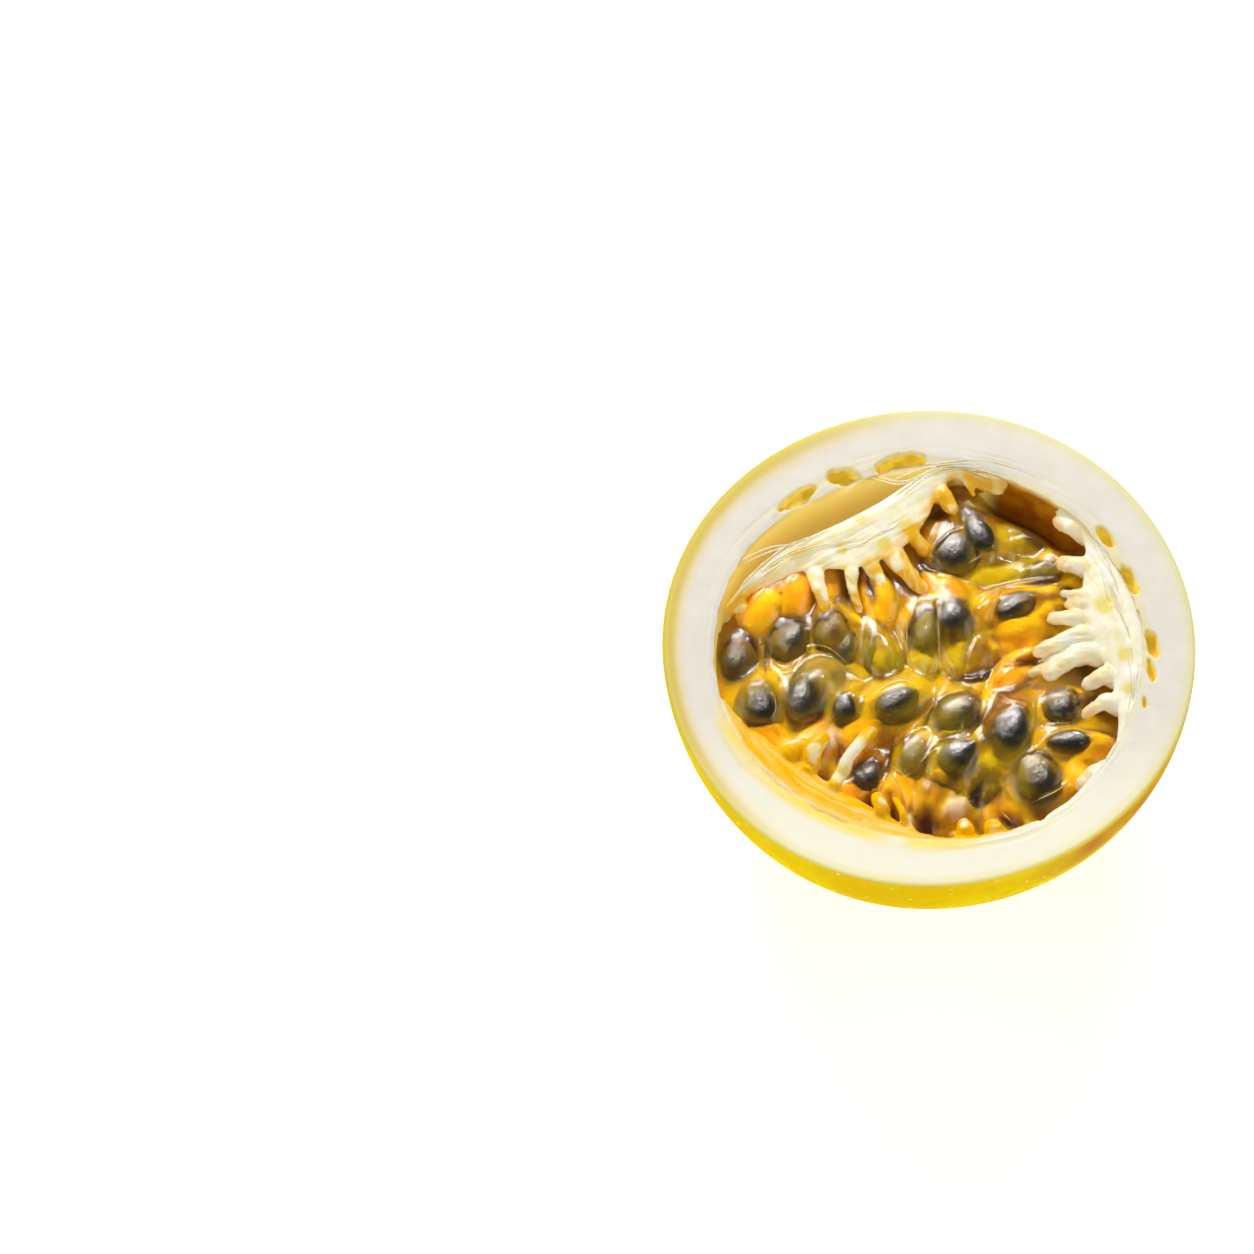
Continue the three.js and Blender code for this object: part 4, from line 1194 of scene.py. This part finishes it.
def make_seeds(material):
    """The seeds, each with how much gel clouds it and a painted highlight on the side that faces the key
    light.
    """
    shapes = [seed_shape(number) for number in range(3)]
    x, y, depth, long, wide, heading, sunk = np.array(SEEDS).T
    high = SEED_HEIGHT * wide
    points = np.column_stack([x, y, CUT - depth - sunk - high / 2])
    turns = np.column_stack([0 * x, 0 * x, np.radians(heading)])
    sizes = np.column_stack([long, wide, high]) / 2
    piece = scattered("seeds", points, turns, sizes, shapes, 0.2, 4, material)
    points = points_of(piece)
    x, y, z = points.T
    order = np.arange(len(x))
    cover = seed_fields(x, y)[0][order * len(SEEDS) // len(x), order]
    depth = np.clip(cover - SEED_COVER - z, 0, None)
    # painted highlight where a seed's side faces the key light, in patches
    highlight_share = smoothstep(0.7, 1.0, normals_of(piece) @ np.array(PAINTED_HIGHLIGHT_WAY)) * (0.8 + 0.5 * noise(points, 1.3, 47))
    set_layers(
        piece, sunk=1 - np.exp(-((depth / CLOUDED) ** 1.5)), tint=pulp_fields(x, y)["flesh tint"] * 0.62,
        bloom=np.clip(highlight_share, 0, 1),
    )
    return piece


# ---- membranes ----
def tube_tree():
    """Turns rows of points into smooth round tubes; each point's radius is an attribute."""
    net = ShapeNet("tubes", Spacing="Float", Sides="Int")
    curve = net.node("GeometryNodeMeshToCurve", None, {"Mesh": net.given("Geometry")})
    bent = net.node("GeometryNodeCurveSplineType", {"spline_type": "CATMULL_ROM"}, {"Curve": curve})
    even = net.node("GeometryNodeResampleCurve", {"mode": "LENGTH"}, {
        "Curve": bent, "Length": net.given("Spacing")})
    ring = net.node("GeometryNodeCurvePrimitiveCircle", None, {
        "Resolution": net.given("Sides"), "Radius": 1.0})
    return net.ended(net.node("GeometryNodeCurveToMesh", None, {
        "Curve": even, "Profile Curve": ring, "Scale": net.attribute("thick", "FLOAT"), "Fill Caps": True}))


def tubes(name, paths, spacing, sides, material):
    """Closed tubes along paths, each a row of (x, y, z, radius) in mm."""
    points, edges = [], []
    for path in paths:
        edges += [(len(points) + k, len(points) + k + 1) for k in range(len(path) - 1)]
        points += path
    points = np.array(points)
    piece = mesh_piece(name, points[:, :3], [], edges, thick=points[:, 3] * MM)
    nodes_modifier(piece, tube_tree(), Spacing=spacing * MM, Sides=sides, Material=material)
    return settled(piece)


def web_edges(rows, joined):
    """A membrane's two edges, closely spaced. Where it is joined its outer edge runs into the rind."""
    rows = spread(rows, 0.7)
    x, y = rows[:, 0], rows[:, 1]
    squeeze = (cavity_edge(x, y) + ROOTED) / np.hypot(x, y)
    if not joined:
        squeeze = np.minimum(1, squeeze)
    rows[:, :2] *= squeeze[:, None]
    return rows


def web_section(fall, skirt):
    """A membrane's section: how far towards the free edge, or None on the skirt's inner face, and height."""
    outside = [(0.0, -skirt), (0.0, -skirt / 2), (0.0, -0.8), (0.03, -0.2)]
    above = [(t, -fall * t**1.5) for t in np.linspace(0.12, 1.0, 8)]
    below = [(t, -fall * t**1.5 - BAND_THICKNESS) for t in np.linspace(0.96, 0.3, 6)]
    return outside + above + below + [(None, -1.4), (None, -skirt / 2), (None, -skirt)]


def web_sheet(rows, fall, skirt, joined):
    """A membrane's closed sheet: a skirt down from its outer edge, and a band that sags to its inner edge."""
    rows = web_edges(rows, joined)
    outer, wide = rows[:, :2], rows[:, 2:] - rows[:, :2]
    inward = wide / np.maximum(np.hypot(*wide.T), 0.01)[:, None]
    ends = np.minimum(np.arange(len(rows)), np.arange(len(rows))[::-1]) / len(rows)
    hang = 1.6 / skirt + (1 - 1.6 / skirt) * smoothstep(0.0, 0.22, ends)
    section = web_section(fall, skirt)
    points = []
    for t, z in section:
        height = CUT - BAND_TOP + (z * hang if z < -1.5 * fall - 1 else z)
        spot = outer + (inward * SKIRT_THICKNESS if t is None else wide * t)
        points.append(np.column_stack([spot, np.broadcast_to(height, len(rows))]))
    corners = len(section)
    end = len(rows) * corners
    faces = ring_quads(len(rows), corners)[:, [0, 3, 2, 1]].tolist()
    faces += [tuple(range(corners)), tuple(range(end - 1, end - corners - 1, -1))]
    return np.stack(points, 1).reshape(-1, 3), faces


def stalk_path(row, fall):
    """A stalk's path: out of the membrane, over a soft bend, and down to a rounded tip."""
    root_x, root_y, mid_x, mid_y, tip_x, tip_y, mid_radius, tip_radius, depth = row
    root = (root_x, root_y, CUT - BAND_TOP - 0.9 - mid_radius, mid_radius * 0.9)
    neck_x, neck_y = root_x * 0.5 + mid_x * 0.5, root_y * 0.5 + mid_y * 0.5
    neck = (neck_x, neck_y, CUT - BAND_TOP - 0.75 * fall - mid_radius * 1.25, mid_radius * 1.25)
    middle = (mid_x, mid_y, CUT - max(0.45, depth - 1.1) - mid_radius, mid_radius)
    tip = np.array([tip_x, tip_y, CUT - depth - tip_radius])
    way = tip - np.array(middle[:3])
    way /= np.linalg.norm(way)
    path = [root, neck, middle]
    for back, size in ((1.4, 1.0), (0.6, 0.92), (0.0, 0.35)):
        path.append((*(tip - way * back * tip_radius), tip_radius * size))
    return path


def melted(name, parts, voxel):
    """Several closed shapes as one smooth skin."""
    points, faces, first = [], [], 0
    for part_points, part_faces in parts:
        points.append(part_points)
        faces += [tuple(first + corner for corner in face) for face in part_faces]
        first += len(part_points)
    piece = mesh_piece(name, np.vstack(points), faces)
    melt = piece.modifiers.new("melt", "REMESH")
    melt.mode = "VOXEL"
    melt.voxel_size = voxel * MM
    smooth = piece.modifiers.new("smooth", "SMOOTH")
    smooth.iterations = 9
    smooth.factor = 0.5
    return settled(piece)


def melted_web(name, rows, stalks, fall, skirt, joined, material):
    """A membrane's sheet and stalks as one smooth skin."""
    line = tubes(name + "_stalks", [stalk_path(row, fall) for row in stalks], 0.3, 12, material)
    stems = points_of(line), [tuple(face.vertices) for face in line.data.polygons]
    bpy.data.objects.remove(line)
    return melted(name, [web_sheet(rows, fall, skirt, joined), stems], MELT_VOXEL)


def tip_share(points, stalks):
    """How near points are to the stalks' wet tips, 0 to 1."""
    share = np.zeros(len(points))
    for *_, tip_x, tip_y, _, tip_radius, depth in stalks:
        away = np.linalg.norm(points - (tip_x, tip_y, CUT - depth - tip_radius), axis=1)
        share = np.maximum(share, fade(0.4, 2.2 + 1.3 * depth, away))
    return share


def web_marks(points, stalks, flow, across, inward, warm, soak):
    """How lemon and how soaked with juice a membrane is at its points, and how deep, for its painted shade.
    """
    x, y, z = points.T
    tips = tip_share(points, stalks)
    band = smoothstep(-0.2, 1.1, across) * smoothstep(-0.9, 0.2, inward)
    flap = window(5.5, 7.5, 13, 15, x) * smoothstep(18, 21, y)
    rim = fade(0.0, 1.5, np.abs(inward)) * smoothstep(-0.35, 0.35, noise(points, 3.6, 67))
    soaked = 1.6 * soak * np.sqrt(tips) * smoothstep(-0.4, 0.5, noise(points, 1.5, 65) + 0.6 * tips)
    soaked = soaked + warm * band * (0.9 + 0.35 * noise(flow, 0.8, 66))
    soaked = np.maximum(soaked, 0.85 * min(1, soak) * rim * fade(0.0, 0.6, tips))
    free = min(1, soak) * fade(-0.4, 1.8, inward) * smoothstep(-0.4, 0.6, noise(points, 2.0, 68))
    lemon = smoothstep(0.25, 0.8, noise(flow, 2.2, 64)) + 0.7 * free
    for spot_x, spot_y, size in WEB_SPOTS:
        near = fade(0.4 * size, 1.3 * size, np.hypot(x - spot_x, y - spot_y))
        lemon = np.maximum(lemon, 1.3 * near)
    return {
        "spot": np.clip(lemon + 0.6 * warm * band + flap, 0, 1),
        "soaked": np.clip(soaked, 0, 1),
        # deep: painted shade, darker gold far below the cut and partly on the flap
        "deep": np.maximum(smoothstep(2.0, 6.0, CUT - z), 0.4 * flap),
    }


def fibrous(way):
    """Coarse and fine fibres from -1 to 1 that run along the first axis of a way."""
    return noise(way, 1.0, 61) * 0.6 + noise(way, 0.45, 62) * 0.4


def make_membrane(name, rows, stalks, fall, skirt, joined, warm, soak, material):
    """A membrane with its stalks, its fibres in relief, and the marks of juice on it."""
    piece = melted_web(name, rows, stalks, fall, skirt, joined, material)
    points = points_of(piece)
    x, y, z = points.T
    across = -past_outer(rows, x, y)
    inward = past_inner(rows, x, y)
    around = np.arctan2(y, x) * 25
    flow = np.column_stack([around / 9, across / 0.7, z / 1.2])
    grain = np.column_stack([around / 0.9, across / 6.0, z / 1.2])
    on_sheet = smoothstep(-1.2, 0.4, inward)
    fibre = on_sheet * fibrous(flow) + (1 - on_sheet) * fibrous(grain)
    relief = 0.15 * fibre + 0.15 * noise(points, 2.4, 63) + 0.08 * noise(points, 1.1, 69)
    points = points + normals_of(piece) * (smoothstep(0.0, 1.4, across) * relief)[:, None]
    points[:, 2] = np.minimum(points[:, 2], CUT)
    move_points(piece, points)
    marks = web_marks(points, stalks, flow, across, inward, warm, soak)
    set_layers(piece, fibre=0.5 + 0.5 * fibre, **marks)
    piece.data.shade_smooth()
    return piece


# ---- threads and strands ----
def make_threads(material):
    """Threads that lie on the gel, thin at both ends."""
    draw = np.random.default_rng(75)
    paths = []
    for thick, *spots in PULP_THREADS:
        x, y = spread(spots, 0.5).T
        height = pulp_fields(x, y)["gel"] - 0.02
        swell = np.sin(np.linspace(0.1, math.pi - 0.1, len(x))) * draw.uniform(0.6, 1.0, len(x))
        paths.append(list(zip(x, y, height, 0.55 * thick * swell)))
    return tubes("threads", paths, 0.3, 6, material)


def lying_strands(rows, count, fall, joined, seed):
    """Strands that lie along a membrane, each over a random stretch of it."""
    draw = np.random.default_rng(seed)
    line = web_edges(rows, joined)
    paths = []
    for _ in range(count):
        span = draw.integers(7, 16)
        start = draw.integers(0, max(1, len(line) - span))
        share, drift = draw.uniform(0.02, 0.62), draw.uniform(-0.02, 0.02)
        thick = draw.uniform(0.05, 0.12)
        path = []
        for k, (ox, oy, ix, iy) in enumerate(line[start:start + span:2]):
            t = min(max(share + drift * k + draw.uniform(-0.02, 0.02), 0.0), 0.9)
            z = CUT - BAND_TOP - fall * t**1.5 + 0.02
            path.append((ox + (ix - ox) * t, oy + (iy - oy) * t, z, thick))
        for end in (0, -1):
            path[end] = (*path[end][:3], STRAND_TIP)
        if len(path) > 2:
            paths.append(path)
    return paths


def make_strands(material):
    """Loose fibres that stray over the membranes and the pith."""
    paths = [[(x, y, CUT - depth, STRAND_RADIUS) for x, y, depth in row] for row in LOOSE_STRANDS]
    paths += lying_strands(LEFT_WEB, 20, LEFT_FALL, False, 71)
    paths += lying_strands(RIGHT_WEB, 18, RIGHT_FALL, True, 72)
    return tubes("strands", paths, 0.35, 6, material)


# ---- stage ----
PX_PER_MM = 7.57  # at the cut, in the frame
FRAME_PX = 1254
LENS = 150.0
SENSOR = 36.0
TILT = math.radians(64.5)  # of the line of sight to the fruit, above the horizon
CUT_PX = (928.0, 642.5)  # where the middle of the cut stands in the frame
FLOOR_REACH = 3000.0
# Soft boxes: name, azimuth and height in degrees, distance, width and height in metres, radiance.
# Azimuth 0 is behind the fruit and 90 to its right.
LIGHTS = (
    ("key", -12, 39, 0.80, 0.2, 0.13, 9.0), ("key", -12, 39, 0.81, 0.34, 0.21, 7.0),
    ("key", -12, 39, 0.82, 0.54, 0.34, 5.0), ("spark", 20, 44, 0.8, 0.06, 0.06, 50.0),
    ("left", -95, 30, 1.6, 1.8, 1.1, 1.25), ("right", 95, 30, 1.6, 1.8, 1.1, 1.25),
    ("front", 180, 9, 1.6, 2.6, 0.5, 2.6),
)


def make_camera():
    """A long lens that looks down on the cut, turned so that the cut stands at its place in the frame."""
    data = bpy.data.cameras.new("camera")
    data.lens = LENS
    data.sensor_width = SENSOR
    data.clip_end = 10
    camera = bpy.data.objects.new("camera", data)
    bpy.context.scene.collection.objects.link(camera)
    away = Vector((0, math.cos(TILT), -math.sin(TILT)))
    right = Vector((1, 0, 0))
    facing = Matrix((right, right.cross(away), -away)).transposed()
    focal_px = LENS / SENSOR * FRAME_PX
    pan, tip = (math.atan((place - FRAME_PX / 2) / focal_px) for place in CUT_PX)
    aimed = facing @ Matrix.Rotation(pan, 3, "Y") @ Matrix.Rotation(tip, 3, "X")
    place = Vector((0, 0, CUT)) - away * (focal_px / PX_PER_MM)
    camera.matrix_world = Matrix.Translation(place * MM) @ aimed.to_4x4()
    bpy.context.scene.camera = camera


def make_light(name, azimuth, height, distance, wide, tall, radiance):
    """A soft box that looks at the fruit."""
    data = bpy.data.lights.new(name, "AREA")
    data.shape = "RECTANGLE"
    data.size, data.size_y = wide, tall
    data.energy = radiance * math.pi * wide * tall
    light = bpy.data.objects.new(name, data)
    a, e = math.radians(azimuth), math.radians(height)
    way = Vector((math.sin(a) * math.cos(e), math.cos(a) * math.cos(e), math.sin(e)))
    light.location = Vector((0, 0, CUT * MM)) + way * distance
    light.rotation_euler = way.to_track_quat("Z", "Y").to_euler()
    light.visible_camera = False
    bpy.context.scene.collection.objects.link(light)


def make_floor():
    """A white floor that glows a little, so that shadows stay faint."""
    corners = [(x * FLOOR_REACH, y * FLOOR_REACH, 0) for x, y in ((-1, -1), (1, -1), (1, 1), (-1, 1))]
    floor = mesh_piece("floor", corners, [(0, 1, 2, 3)])
    f = Finish("white_floor")
    floor.data.materials.append(f.done(f.surface(
        Base_Color=(0.8, 0.8, 0.8, 1), Roughness=0.6, Specular_IOR_Level=0.2,
        Emission_Color=(1, 1, 1, 1), Emission_Strength=0.66,
    )))


def make_studio():
    """A white world that adds a little light from all round, and plain colours in the picture."""
    world = bpy.data.worlds.new("studio")
    world.use_nodes = True
    sky = world.node_tree.nodes["Background"].inputs
    sky["Color"].default_value = (1, 1, 1, 1)
    sky["Strength"].default_value = 0.12
    bpy.context.scene.world = world
    bpy.context.scene.view_settings.view_transform = "Standard"


# ---- the half ----
# Membranes: piece, node, edges, stalks, fall of the band, depth of the skirt, whether it is grown into the
# rind, how soaked its band is and how soaked its tips are, then its material's name, gloss and painted glow.
WEBS = (
    ("left_web", "membrane_left", (LEFT_WEB, LEFT_STALKS, LEFT_FALL, 15.0, False, 0.0, 1.7),
     ("left_membrane", 1.0, rgb(112, 102, 62))),
    ("right_web", "membrane_right", (RIGHT_WEB, RIGHT_STALKS, RIGHT_FALL, 6.0, True, 0.0, 0.32),
     ("right_membrane", 1.0, rgb(80, 74, 58))),
    ("front_web", "membrane_front", (FRONT_WEB, FRONT_STALKS, FRONT_FALL, 7.0, True, 1.0, 1.5),
     ("soaked_membrane", 0.15, rgb(86, 82, 66))),
)

make_camera()
make_floor()
for light in LIGHTS:
    make_light(*light)
make_studio()
dress(make_rind(), rind_finish(), "rind", "rind")
dress(make_flesh(), flesh_finish(), "pulp", "pulp")
dress_made(make_seeds, seed_finish, "pulp")
dress(make_gel(), gel_finish(), "pulp")
for name, node, shape, look in WEBS:
    material = membrane_finish(*look)
    dress(make_membrane(name, *shape, material), material, "membrane", node)
dress_made(make_strands, strand_finish, "membrane")
dress_made(make_bubbles, bubble_finish, "pulp")
dress_made(make_threads, thread_finish, "pulp")
